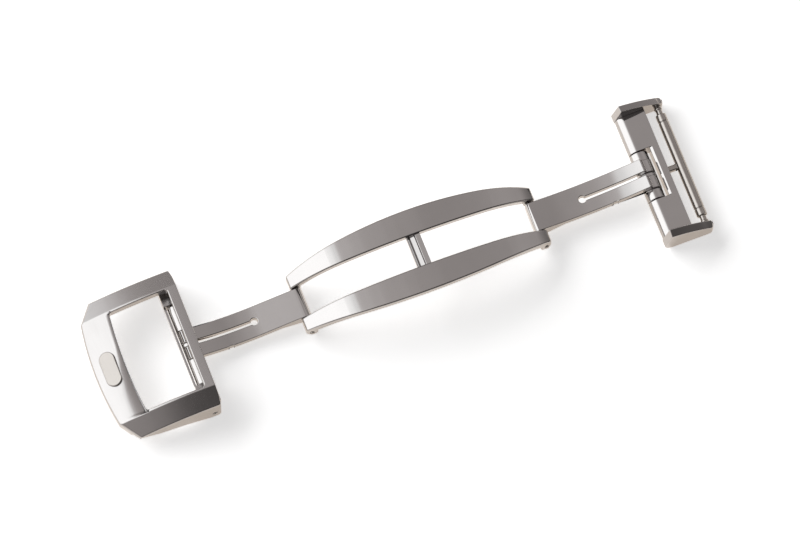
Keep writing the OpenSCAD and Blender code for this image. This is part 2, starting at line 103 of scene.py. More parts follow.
class FrameSizes(bpy.types.PropertyGroup):
    """Sizes of the centre frame"""
    crown_r: length("Crown radius", "Radius of the arch's long crown", 60)
    crown_half: length("Crown half length", "Half the length of the crown", 9)
    over_pin: length("Height over pin", "How far the arch passes over the inner pins", 1.5)
    thickness: length("Rail thickness", "Thickness of the rails along the arch", 1.1)
    knuckle_r: length("Knuckle radius", "Radius of a rail around its hinge pin", 0.74)
    bow_r: length("Bow radius", "Radius of the rails' bowed outer sides", 80)
    rail_gap: length("Rail gap", "Clear width between the two rails", 4)
    channel_lip: length("Channel lip", "Thickness of the channel's lips", 0.12)
    channel_floor: length("Channel floor", "Thickness of the channel's floor", 0.35)


class BladeSizes(bpy.types.PropertyGroup):
    """Sizes of both blades"""
    width: length("Blade width", "Width of both folding blades", 3.8)
    thickness: length("Blade thickness", "Thickness of both folding blades", 1.0)
    bend_left: length("Left bend radius", "Radius of the left blade's upward bend", 21)
    straight: length("Left straight", "Straight length beside the left blade's inner pin", 5.5)
    bend_right: length("Right bend radius", "Radius of the right blade's upward bend", 40)
    slit: length("Slit width", "Width of the slit between the two tines", 0.48)
    keyhole: length("Keyhole", "Diameter of the round hole that ends the slit", 0.9)
    keyhole_at: length("Keyhole distance", "From the inner pin to that hole", 6.1)
    bore: length("Bore", "Diameter of the running bore around a hinge pin", 0.78)


class BuckleSizes(bpy.types.PropertyGroup):
    """Sizes of the buckle"""
    face_half: length("Face half width", "Half the width between the slanted edges", 6.8)
    face_r: length("Face radius", "Radius of the buckle's curved face", 34)
    edge_drop: length("Edge drop", "Drop of the slanted edges over their width", 1.18)
    plate: length("Plate thickness", "Thickness of the buckle's plate", 1.25)
    wall: length("Wall thickness", "Thickness of the buckle's side walls", 1.05)
    window_half: length("Window half width", "Half the width of the window", 6.5)
    window_length: length("Window length", "Length of the window along the clasp", 7.8)
    window_back: length("Hinge bar", "From the hinge end to the window", 1.25)
    front_bow: length("Front bow radius", "Radius of the bowed front edge", 40)
    window_bow: length("Window bow radius", "Radius of the window's bowed edge", 57)
    roll_far: length("Roll, far end", "Width of the front bar's rolled edge at its far end", 0.5)
    roll_near: length("Roll, near end", "Width of the front bar's rolled edge at its near end", 2.6)
    roll_drop: length("Roll drop", "How far the rolled edge falls at its near end", 0.62)


class EndSizes(bpy.types.PropertyGroup):
    """Sizes of the end piece"""
    pocket_half: length("Pocket half width", "Half the width of the end bar's pocket", 3.25)
    cheek_slope: bpy.props.FloatProperty(name="Cheek slope", description="Slope of the cheeks' top",
                                         default=radians(21), unit="ROTATION")
    cheek_r: length("Cheek radius", "Radius of the cheeks' rounded top", 13.5)
    tail_height: length("Tail height", "Height of a cheek's strap end", 2)
    tail_r: length("Tail round", "Round under a cheek's strap end", 0.9)


class FinishColours(bpy.types.PropertyGroup):
    """Colours of the steel's finishes and of the table"""
    polished: colour("Polished steel", "Colour of the polished pieces", (0.492, 0.483, 0.479))
    brushed: colour("Brushed steel", "Colour of the buckle's brushed faces", (0.492, 0.483, 0.480))
    pin: colour("Pin steel", "Colour of the turned pieces and the plaque", (0.40, 0.38, 0.36))
    spring: colour("Spring steel", "Colour of the coil spring", (0.30, 0.30, 0.32))
    table: colour("Table", "Colour of the table", (0.95, 0.95, 0.95))


GROUPS = {
    "clasp_frame": FrameSizes,
    "clasp_blades": BladeSizes,
    "clasp_buckle": BuckleSizes,
    "clasp_end": EndSizes,
    "clasp_finish": FinishColours,
}


def in_mm(group):
    """The lengths of a property group, in millimetres, under their own names."""
    class Lengths:
        pass
    for name in group.__annotations__:
        setattr(Lengths, name, getattr(group, name) / MM)
    return Lengths


# Outlines and solids

# Points of a mesh closer than this are one, after a cut and in a new mesh
CUT_WELD = 1e-4
WELD = 1e-5
# Heights well under and over every piece, and how far a cutting solid reaches past what it cuts
BELOW = -3
ABOVE = 8
PAST = 1
# Sides of a turned solid
TURNED_STEPS = 64
# Edges sharper than this are rounded, and how strongly large faces keep their own shading
EDGE_ANGLE = radians(32)
FACE_WEIGHT = 60


def spread(start, stop, count):
    """Evenly spaced numbers from start to stop."""
    return [start + (stop - start) * i / count for i in range(count + 1)]


def quarter(count):
    """Angles that divide a quarter turn evenly, from 0."""
    return [pi / 2 * i / count for i in range(count + 1)]


def arc(centre, radius, start, end, steps):
    """Points of X and Z on an arc; angles are in radians from straight up towards +X."""
    return [(centre[0] + radius * sin(a), centre[1] + radius * cos(a))
            for a in spread(start, end, steps)]


def arc_through(first, last, radius, bulge):
    """Centre of an arc through two points, left one first, that bulges up (1) or down (-1)."""
    first, last = Vector(first), Vector(last)
    across = last - first
    half = across.length / 2
    normal = Vector((-across.y, across.x)).normalized()
    return (first + last) / 2 - bulge * sqrt(radius * radius - half * half) * normal


def circles_meet(a, ra, b, rb, side):
    """Where two circles meet, on the given side of the line from a to b."""
    a, b = Vector(a), Vector(b)
    between = b - a
    d = between.length
    along = (d * d + ra * ra - rb * rb) / (2 * d)
    off = sqrt(ra * ra - along * along)
    return a + between / d * along + side * off * Vector((-between.y, between.x)) / d


def prism(outline, low, high):
    """A solid with an outline in X and Z, from Y low to high."""
    bm = bmesh.new()
    near = [bm.verts.new((x, low, z)) for x, z in outline]
    far = [bm.verts.new((x, high, z)) for x, z in outline]
    count = len(outline)
    bm.faces.new(near)
    bm.faces.new(far)
    for i in range(count):
        j = (i + 1) % count
        bm.faces.new((near[i], near[j], far[j], far[i]))
    bmesh.ops.recalc_face_normals(bm, faces=bm.faces)
    return bm


def upright_prism(outline, low, high):
    """A solid with an outline in X and Y, from Z low to high."""
    bm = prism([(x, -y) for x, y in outline], low, high)
    bmesh.ops.rotate(bm, verts=bm.verts, matrix=Matrix.Rotation(pi / 2, 3, "X"))
    return bm


def block(low, high):
    """A box between two corners."""
    return prism([(low[0], low[2]), (high[0], low[2]), (high[0], high[2]), (low[0], high[2])],
                 low[1], high[1])


def turned(profile, at):
    """A solid turned about a line along Y through a point of X and Z, from radii and places."""
    bm = bmesh.new()
    rings = []
    turns = [2 * pi * i / TURNED_STEPS for i in range(TURNED_STEPS)]
    for radius, y in profile:
        if radius == 0:
            rings.append([bm.verts.new((at[0], y, at[1]))])
            continue
        rings.append([bm.verts.new((at[0] + radius * sin(a), y, at[1] + radius * cos(a)))
                      for a in turns])
    for one, two in zip(rings, rings[1:]):
        for i in range(TURNED_STEPS):
            j = (i + 1) % TURNED_STEPS
            corners = [one[i % len(one)], one[j % len(one)], two[j % len(two)], two[i % len(two)]]
            bm.faces.new(list(dict.fromkeys(corners)))
    bmesh.ops.recalc_face_normals(bm, faces=bm.faces)
    return bm


def rod(at, radius, low, high, bevel=0.0):
    """A round bar along Y, with a bevel at each end."""
    if bevel:
        return turned([(0, low), (radius - bevel, low), (radius, low + bevel),
                       (radius, high - bevel), (radius - bevel, high), (0, high)], at)
    return turned([(0, low), (radius, low), (radius, high), (0, high)], at)


def upright_rod(x, y, radius, low, high):
    """A round bar along Z."""
    bm = rod((0, 0), radius, low, high)
    bmesh.ops.rotate(bm, verts=bm.verts, matrix=Matrix.Rotation(pi / 2, 3, "X"))
    bmesh.ops.translate(bm, verts=bm.verts, vec=(x, y, 0))
    return bm


def to_object(bm, name="work"):
    """A new object in the scene with a solid's mesh; the solid is used up."""
    mesh = bpy.data.meshes.new(name)
    bm.to_mesh(mesh)
    bm.free()
    made = bpy.data.objects.new(name, mesh)
    bpy.context.scene.collection.objects.link(made)
    return made


def settle(made):
    """The object's mesh with its modifiers applied; the object is used up."""
    depsgraph = bpy.context.evaluated_depsgraph_get()
    mesh = bpy.data.meshes.new_from_object(made.evaluated_get(depsgraph), depsgraph=depsgraph)
    old = made.data
    bpy.data.objects.remove(made)
    bpy.data.meshes.remove(old)
    return mesh


def combine(base, tool, operation="DIFFERENCE"):
    """Cuts, joins or intersects two solids, both of which are used up."""
    made, other = to_object(base), to_object(tool, "tool")
    modifier = made.modifiers.new("cut", "BOOLEAN")
    modifier.object = other
    modifier.operation = operation
    modifier.solver = "EXACT"
    mesh = settle(made)
    tool_mesh = other.data
    bpy.data.objects.remove(other)
    bpy.data.meshes.remove(tool_mesh)
    result = bmesh.new()
    result.from_mesh(mesh)
    bpy.data.meshes.remove(mesh)
    bmesh.ops.remove_doubles(result, verts=result.verts, dist=CUT_WELD)
    return result


def slice_along_x(bm, places):
    """Adds cuts across X, so that flat sides can be bowed."""
    for x in places:
        bmesh.ops.bisect_plane(bm, geom=bm.verts[:] + bm.edges[:] + bm.faces[:], dist=CUT_WELD,
                               plane_co=(x, 0, 0), plane_no=(1, 0, 0))
    return bm


def finish_piece(bm, name, node, slot, edge=0.0, segments=3):
    """Rounds the solid's edges, puts it in place and makes it stand for its CAD node."""
    for face in bm.faces:
        face.smooth = True
    made = to_object(bm, name + "_work")
    if edge:
        bevel = made.modifiers.new("edges", "BEVEL")
        bevel.width = edge
        bevel.segments = segments
        bevel.limit_method = "ANGLE"
        bevel.angle_limit = EDGE_ANGLE
        bevel.miter_outer = "MITER_ARC"
        bevel.use_clamp_overlap = False
    weighted = made.modifiers.new("normals", "WEIGHTED_NORMAL")
    weighted.weight = FACE_WEIGHT
    weighted.keep_sharp = True
    mesh = settle(made)
    mesh.name = name
    low, high = span(node)
    for vert in mesh.vertices:
        vert.co = [min(max(vert.co[i], low[i]), high[i]) for i in range(3)]
    mesh.transform(Matrix.Translation((MIDDLE_X, 0, 0)) @ Matrix.Scale(MM, 4))
    mesh.materials.append(bpy.data.materials[slot])
    piece = bpy.data.objects.new(name, mesh)
    bpy.context.scene.collection.objects.link(piece)
    body = next(b for b, nodes in frame["record"]["behaviour"]["bodies"].items() if node in nodes)
    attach(piece, body)
    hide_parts(node)
    return piece


# Finishes

# Noise per metre: the fine grain of polishing and brushing, and the broad mottle of the colour
GRAIN = 9000
MOTTLE = 260
# How far the mottle darkens and lightens the colour, and the depth of the grain in metres
TINT_LOW = 0.94
TINT_HIGH = 1.05
GRAIN_DEEP = 0.00002
# How much brushing is drawn out, and the leans between which it turns, from face to slanted side
DRAWN_OUT = 0.03
TURN_LEAN = (0.18, 0.26)
# The Mix node's inputs and output for each kind
MIX_SOCKETS = {"RGBA": (6, 7, 2), "FLOAT": (2, 3, 0)}


def add_node(tree, kind, **settings):
    """A shader node with its settings; names of inputs are given with underscores."""
    made = tree.nodes.new(kind)
    for key, value in settings.items():
        if hasattr(made, key):
            setattr(made, key, value)
        else:
            made.inputs[key.replace("_", " ")].default_value = value
    return made


def feed(tree, value, socket):
    """Links an output to an input, or sets a plain number or colour on it."""
    if isinstance(value, bpy.types.NodeSocket):
        tree.links.new(value, socket)
    else:
        socket.default_value = value


def reckoned(tree, operation, *values):
    """The result of a Math node."""
    made = add_node(tree, "ShaderNodeMath", operation=operation)
    for value, socket in zip(values, made.inputs):
        feed(tree, value, socket)
    return made.outputs[0]


def mixed(tree, kind, factor, first, second):
    """A mix of two colours or two values; the factor runs from the first to the second."""
    made = add_node(tree, "ShaderNodeMix", data_type=kind)
    at_first, at_second, result = MIX_SOCKETS[kind]
    feed(tree, factor, made.inputs["Factor"])
    feed(tree, first, made.inputs[at_first])
    feed(tree, second, made.inputs[at_second])
    return made.outputs[result]


def stretched_noise(tree, stretch, scale, detail=3.0):
    """Noise drawn out along an axis of the object, as polishing and brushing leave it."""
    place = add_node(tree, "ShaderNodeTexCoord")
    mapping = add_node(tree, "ShaderNodeMapping", Scale=stretch)
    noise = add_node(tree, "ShaderNodeTexNoise", Scale=scale, Detail=detail)
    tree.links.new(place.outputs["Object"], mapping.inputs["Vector"])
    tree.links.new(mapping.outputs["Vector"], noise.inputs["Vector"])
    return noise.outputs["Fac"]


def ranged(tree, value, low, high, start=0.3, stop=0.7):
    """A value between start and stop, spread over the range from low to high."""
    made = add_node(tree, "ShaderNodeMapRange")
    for name, number in zip(("From Min", "From Max", "To Min", "To Max"), (start, stop, low, high)):
        made.inputs[name].default_value = number
    tree.links.new(value, made.inputs["Value"])
    return made.outputs["Result"]


def brushed_lines(tree):
    """Brushing that runs across the clasp on the face and along it on the slanted sides."""
    place = add_node(tree, "ShaderNodeTexCoord")
    split = add_node(tree, "ShaderNodeSeparateXYZ")
    tree.links.new(place.outputs["Normal"], split.inputs[0])
    lean = reckoned(tree, "ABSOLUTE", split.outputs["Y"])
    across = stretched_noise(tree, (1, DRAWN_OUT, 1), GRAIN)
    along = stretched_noise(tree, (DRAWN_OUT, 1, 1), GRAIN)
    return mixed(tree, "FLOAT", ranged(tree, lean, 0, 1, *TURN_LEAN), across, along)


def steel(name, base, rough, relief, stretch, anisotropic=0.0):
    """A metal with a faint mottle in its colour, a grain that spreads its roughness over a range,
    and a fine bump of that grain. stretch draws the grain out, and None means brushing."""
    material = bpy.data.materials[name]
    material.use_nodes = True
    tree = material.node_tree
    tree.nodes.clear()
    out = add_node(tree, "ShaderNodeOutputMaterial")
    shader = add_node(tree, "ShaderNodeBsdfPrincipled", Metallic=1.0, Anisotropic=anisotropic)
    tree.links.new(shader.outputs[0], out.inputs["Surface"])
    lines = stretched_noise(tree, stretch, GRAIN) if stretch else brushed_lines(tree)
    mottle = stretched_noise(tree, (1, 1, 1), MOTTLE, detail=2.0)
    darker = (*[part * TINT_LOW for part in base], 1)
    lighter = (*[min(part * TINT_HIGH, 1) for part in base], 1)
    tree.links.new(mixed(tree, "RGBA", mottle, darker, lighter), shader.inputs["Base Color"])
    tree.links.new(ranged(tree, lines, *rough), shader.inputs["Roughness"])
    bump = add_node(tree, "ShaderNodeBump", Strength=relief, Distance=GRAIN_DEEP)
    tree.links.new(lines, bump.inputs["Height"])
    tree.links.new(bump.outputs["Normal"], shader.inputs["Normal"])


class CLASP_OT_finishes(bpy.types.Operator):
    """Makes the four finishes of the steel"""
    bl_idname = "clasp.finishes"
    bl_label = "Finishes"

    def execute(self, context):
        colours = context.scene.clasp_finish
        steel("polished_steel", colours.polished, rough=(0.06, 0.08), relief=0.008,
              stretch=(0.15, 1, 1))
        steel("brushed_steel", colours.brushed, rough=(0.17, 0.25), relief=0.015,
              stretch=None, anisotropic=0.35)
        steel("pin_steel", colours.pin, rough=(0.16, 0.26), relief=0.08, stretch=(1, 0.2, 1))
        steel("spring_steel", colours.spring, rough=(0.22, 0.32), relief=0.08, stretch=(1, 1, 1))
        return {"FINISHED"}


# Centre frame

# Widths of the rounded edges
RAIL_EDGE = 0.2
CHANNEL_EDGE = 0.03
# Steps along a rail's crown, its end arc, the underside of that and its knuckle
CROWN_STEPS = 16
END_STEPS = 14
UNDER_STEPS = 12
KNUCKLE_STEPS = 26
# Spacing of the cuts that let a rail's outer side bow, and their count to each side
BOW_SLICE = 1.5
BOW_SLICES = 9
# The channel's sloping floor, as places along X and depths under its lips
TROUGH = [(-0.40, 0.38), (0.10, 0.27), (0.26, 0.06)]


def arch_shape(s):
    """Centre of the crown, centre and radius of the end arc, and the angle where they join."""
    crown = (0, ARCH_TOP - s.crown_r)
    lean = asin(s.crown_half / s.crown_r)
    joint = Vector((crown[0] + s.crown_r * sin(lean), crown[1] + s.crown_r * cos(lean)))
    outward = Vector((sin(lean), cos(lean)))
    fall = RIGHT_PIN + Vector((0, s.over_pin)) - joint
    end_r = -fall.length_squared / (2 * fall.dot(outward))
    return crown, joint - end_r * outward, end_r, lean


def rail_outline(s, reach):
    """Side view of a rail: its right half, and that half mirrored."""
    crown, end, end_r, lean = arch_shape(s)
    tip = asin((reach - end.x) / end_r)
    inner = end_r - s.thickness
    both = [circles_meet(end, inner, RIGHT_PIN, s.knuckle_r, side) for side in (1, -1)]
    meet = min(both, key=lambda point: point.x)
    under = atan2(meet.x - end.x, meet.y - end.y)
    knuckle = atan2(meet.x - RIGHT_PIN.x, meet.y - RIGHT_PIN.y)
    foot = -pi - asin((reach - RIGHT_PIN.x) / s.knuckle_r)
    half = arc(crown, s.crown_r, 0, lean, CROWN_STEPS)
    half += arc(end, end_r, lean, tip, END_STEPS)[1:]
    half += arc(RIGHT_PIN, s.knuckle_r, foot, knuckle, KNUCKLE_STEPS)
    half += arc(end, inner, under, lean, UNDER_STEPS)[1:]
    half += arc(crown, s.crown_r - s.thickness, lean, 0, CROWN_STEPS)[1:]
    return half + [(-x, z) for x, z in reversed(half)][1:-1]


def rail(s, side):
    """A rail on the far side, 1, or the near side, -1, with its bowed outer face."""
    high = span("far_rail")[1]
    inner = s.rail_gap / 2
    bm = prism(rail_outline(s, high.x), inner, high.y)
    slice_along_x(bm, [x * BOW_SLICE for x in range(-BOW_SLICES, BOW_SLICES + 1)])
    for vert in bm.verts:
        if vert.co.y > (inner + high.y) / 2:
            vert.co.y -= s.bow_r - sqrt(s.bow_r ** 2 - vert.co.x ** 2)
    if side < 0:
        bmesh.ops.scale(bm, verts=bm.verts, vec=(1, -1, 1))
        bmesh.ops.reverse_faces(bm, faces=bm.faces)
    return bm


class CLASP_OT_rails(bpy.types.Operator):
    """Builds the two arched rails of the centre frame"""
    bl_idname = "clasp.rails"
    bl_label = "Rails"

    def execute(self, context):
        s = in_mm(context.scene.clasp_frame)
        for node, side in (("far_rail", 1), ("near_rail", -1)):
            finish_piece(rail(s, side), node + "_polished", node, "polished_steel", RAIL_EDGE,
                         segments=4)
        return {"FINISHED"}


class CLASP_OT_channel(bpy.types.Operator):
    """Builds the shallow channel that bridges the rails"""
    bl_idname = "clasp.channel"
    bl_label = "Catch channel"

    def execute(self, context):
        s = in_mm(context.scene.clasp_frame)
        low, high = span("catch_channel")
        half = high.x - s.channel_lip
        outline = [(low.x, low.z), (low.x, high.z), (-half, high.z)]
        outline += [(x, high.z - fall) for x, fall in TROUGH]
        outline += [(high.x, high.z), (high.x, low.z)]
        bm = prism(outline, -s.rail_gap / 2, s.rail_gap / 2)
        tab = block((-half, low.y, low.z), (half, high.y, low.z + s.channel_floor))
        finish_piece(combine(bm, tab, "UNION"), "catch_channel_polished", "catch_channel",
                     "polished_steel", CHANNEL_EDGE)
        return {"FINISHED"}


class CLASP_OT_pins(bpy.types.Operator):
    """Builds the four hinge pins"""
    bl_idname = "clasp.pins"
    bl_label = "Hinge pins"

    def execute(self, context):
        for node in ("left_frame_pin", "right_frame_pin", "buckle_hinge_pin", "end_hinge_pin"):
            low, high = span(node)
            radius = (high.z - low.z) / 2
            at = ((low.x + high.x) / 2, (low.z + high.z) / 2)
            bm = rod(at, radius, low.y, high.y, bevel=radius / 3)
            finish_piece(bm, node + "_turned", node, "pin_steel")
        return {"FINISHED"}


# Blades

# Width of the blades' rounded edges
BLADE_EDGE = 0.1
# How far the blades' tops pass over their inner pins, and the right one's over its barrel
OVER_LEFT = 0.95
OVER_RIGHT = 1.05
OVER_BARREL = 1.27
# Fall of the left blade's straight part, from its inner pin outwards
LEAN_LEFT = radians(8)
# The blades' rounded inner ends: where a nose starts, the lean it starts at and its radius
NOSE_LEFT = (0.15, radians(14), 1.3)
NOSE_RIGHT = (-0.2, radians(12), 0.6)
# The blades' knuckles at their inner pins: half length, drop, bevel and where they have thinned out
KNUCKLE_HALF = 0.65
KNUCKLE_DROP = 1.05
KNUCKLE_BEVEL = 0.3
KNUCKLE_END = 3.2
# The notches in the blades' near edges: distance from the inner pin, half length and depth
NOTCH_AT = 9.7
NOTCH_HALF = 0.3
NOTCH_DEPTH = 0.05
# Diameters of the blades' barrels
BARREL_LEFT = 1.7
BARREL_RIGHT = 2.3
# The left tines' blunt ends: lap past the barrel's axis, and back from there where the underside
# stops, two corners with their depths under the barrel's top, and where the top stops
TINE_LAP = 0.65
BLUNT_UNDER = 0.1
BLUNT_CORNERS = [(0, 0.3), (0.1, 0.08)]
BLUNT_TOP = 0.35
# The right tines' rolled ends: lap of the heel, crease before the axis, how far the roll stays
# inside the barrel's round, its top past the axis and over it, and its foot's height over it
HEEL_LAP = 0.2
CREASE_BACK = 0.35
BARREL_SKIN = 0.02
ROLL_AT = 0.02
ROLL_TOP = 1.5
TINE_SINK = 0.35
# Steps along a blade's top or underside, its nose and the tines' roll
BLADE_STEPS = 44
NOSE_STEPS = 8
ROLL_STEPS = 12


def blade_outline(s, bend, pin, side, end, nose):
    """Side view of a blade, worked out in distances outwards from its inner pin. bend is the
    centre and radius of its top and the lean where the bend starts. end is the points that close
    its outer end, the first and the last only for where the underside and the top stop. nose is
    where the rounding of its inner end starts, the lean it starts at and its radius."""
    centre, bend_r, lean = bend
    nose_at, nose_lean, nose_r = nose

    def along(start, stop, radius):
        """A stretch of the top, or of the underside at a greater radius: straight, then bent."""
        knee = centre.x - radius * sin(lean)
        points = []
        for u in spread(start, stop, BLADE_STEPS):
            if u < knee:
                points.append((u, centre.y - radius * cos(lean) + (knee - u) * tan(lean)))
            else:
                points.append((u, centre.y - sqrt(radius ** 2 - (u - centre.x) ** 2)))
        return points

    foot = pin.y - KNUCKLE_DROP
    outline = [(KNUCKLE_BEVEL - KNUCKLE_HALF, foot), (KNUCKLE_HALF, foot)]
    outline += along(KNUCKLE_END, end[0][0], bend_r + s.thickness)
    outline += end[1:-1]
    outline += along(end[-1][0], nose_at, bend_r)
    middle = (nose_at + nose_r * sin(nose_lean), outline[-1][1] - nose_r * cos(nose_lean))
    stop = -asin((middle[0] + KNUCKLE_HALF) / nose_r)
    outline += arc(middle, nose_r, -nose_lean, stop, NOSE_STEPS)[1:]
    outline.append((-KNUCKLE_HALF, foot + KNUCKLE_BEVEL))
    return [(pin.x + side * u, z) for u, z in outline]


def cut_blade(bm, s, pin, side, slit_end):
    """Cuts the inner pin's bore, the slit, its round end and the side notch."""
    hole_x = pin.x + side * s.keyhole_at
    notch_x = pin.x + side * NOTCH_AT
    half = s.width / 2
    bm = combine(bm, rod(pin, s.bore / 2, -half - PAST, half + PAST))
    low, high = sorted((hole_x, slit_end))
    bm = combine(bm, block((low, -s.slit / 2, BELOW), (high, s.slit / 2, ABOVE)))
    bm = combine(bm, upright_rod(hole_x, 0, s.keyhole / 2, BELOW, ABOVE))
    notch = block((notch_x - NOTCH_HALF, -half - PAST, BELOW),
                  (notch_x + NOTCH_HALF, NOTCH_DEPTH - half, ABOVE))
    return combine(bm, notch)


def add_barrel(bm, s, pin, radius, node):
    """Joins a blade's barrel to its tines and bores it for the outer pin."""
    low, high = span(node)
    bm = combine(bm, rod(pin, radius, low.y, high.y), "UNION")
    return combine(bm, rod(pin, s.bore / 2, low.y - PAST, high.y + PAST))


def left_blade(s):
    """The buckle's blade: a straight part, a bend, and tines with blunt ends."""
    top = BUCKLE_PIN.y + BARREL_LEFT / 2
    tip = LEFT_PIN.x - BUCKLE_PIN.x + TINE_LAP
    knee_z = LEFT_PIN.y + OVER_LEFT - s.straight * tan(LEAN_LEFT)
    centre = Vector((s.straight + s.bend_left * sin(LEAN_LEFT),
                     knee_z + s.bend_left * cos(LEAN_LEFT)))
    end = [(tip - BLUNT_UNDER, 0)] + [(tip - back, top - fall) for back, fall in BLUNT_CORNERS]
    end.append((tip - BLUNT_TOP, 0))
    outline = blade_outline(s, (centre, s.bend_left, LEAN_LEFT), LEFT_PIN, -1, end, NOSE_LEFT)
    bm = prism(outline, -s.width / 2, s.width / 2)
    bm = cut_blade(bm, s, LEFT_PIN, -1, BUCKLE_PIN.x - TINE_LAP - PAST)
    return add_barrel(bm, s, BUCKLE_PIN, BARREL_LEFT / 2, "left_blade")


def right_blade(s):
    """The end piece's blade: one long bend, and tines that roll down over the barrel."""
    run = END_PIN.x - RIGHT_PIN.x
    barrel_r = BARREL_RIGHT / 2
    inner_top = (0, RIGHT_PIN.y + OVER_RIGHT)
    outer_top = (run, END_PIN.y + barrel_r + OVER_BARREL)
    centre = arc_through(inner_top, outer_top, s.bend_right, -1)
    heel = run - barrel_r + HEEL_LAP
    wide = barrel_r - BARREL_SKIN - ROLL_AT
    end = [(heel, 0), (heel, END_PIN.y), (run, END_PIN.y)]
    end += [(run + ROLL_AT + wide * sin(a), END_PIN.y + TINE_SINK + (ROLL_TOP - TINE_SINK) * cos(a))
            for a in reversed(quarter(ROLL_STEPS))]
    end.append((run - CREASE_BACK, 0))
    outline = blade_outline(s, (centre, s.bend_right, pi / 2), RIGHT_PIN, 1, end, NOSE_RIGHT)
    bm = prism(outline, -s.width / 2, s.width / 2)
    bm = cut_blade(bm, s, RIGHT_PIN, 1, END_PIN.x + PAST)
    return add_barrel(bm, s, END_PIN, barrel_r, "right_blade")


class CLASP_OT_blades(bpy.types.Operator):
    """Builds the two folding blades with their tines and barrels"""
    bl_idname = "clasp.blades"
    bl_label = "Blades"

    def execute(self, context):
        s = in_mm(context.scene.clasp_blades)
        for node, made in (("left_blade", left_blade(s)), ("right_blade", right_blade(s))):
            finish_piece(made, node + "_polished", node, "polished_steel", BLADE_EDGE)
        return {"FINISHED"}


# Buckle

# Length and width of the cut front corners, and rounds of the window's and the hinge end's corners
CORNER_X = 2.35
CORNER_Y = 3.15
WINDOW_ROUND = 0.25
BACK_ROUND = 0.45
# Where across the clasp the front bar's rolled edge starts to widen
ROLL_START = 3.0
# Rounds of the front edge and of the others, half width of the soft crease, and flat left in front
# of the rolled edge
FRONT_ROUND = 0.3
EDGE_ROUND = 0.13
CREASE = 0.07
FRONT_FLAT = 0.1
# The walls' lower edge: heights at the front and at the cut corner, then distances ahead of the
# pin with their heights
WALL_FRONT = 0.6
WALL_CORNER = 1.9
WALL_EDGE = [(6.8, 1.05), (3.8, 0.75), (1.6, 0.25), (0.7, 0)]
# Cells of the buckle's grid: along rounds and the roll, and over what lies between them
CORNER_CELLS = 5
EDGE_CELLS = 4
ROLL_CELLS = 9
FACE_ROWS = 14
SLANT_ROWS = 3
BAR_CELLS = 9
WINDOW_CELLS = 12
HINGE_CELLS = 3


def round_off(distance, radius):
    """How far a rounded edge falls at a distance in from the edge."""
    if distance >= radius:
        return 0
    into = radius - max(distance, 0)
    return radius - sqrt(radius * radius - into * into)


def round_steps(radius, count):
    """Distances from an edge that space a round evenly around its quarter turn."""
    return [radius * (1 - cos(a)) for a in quarter(count)]


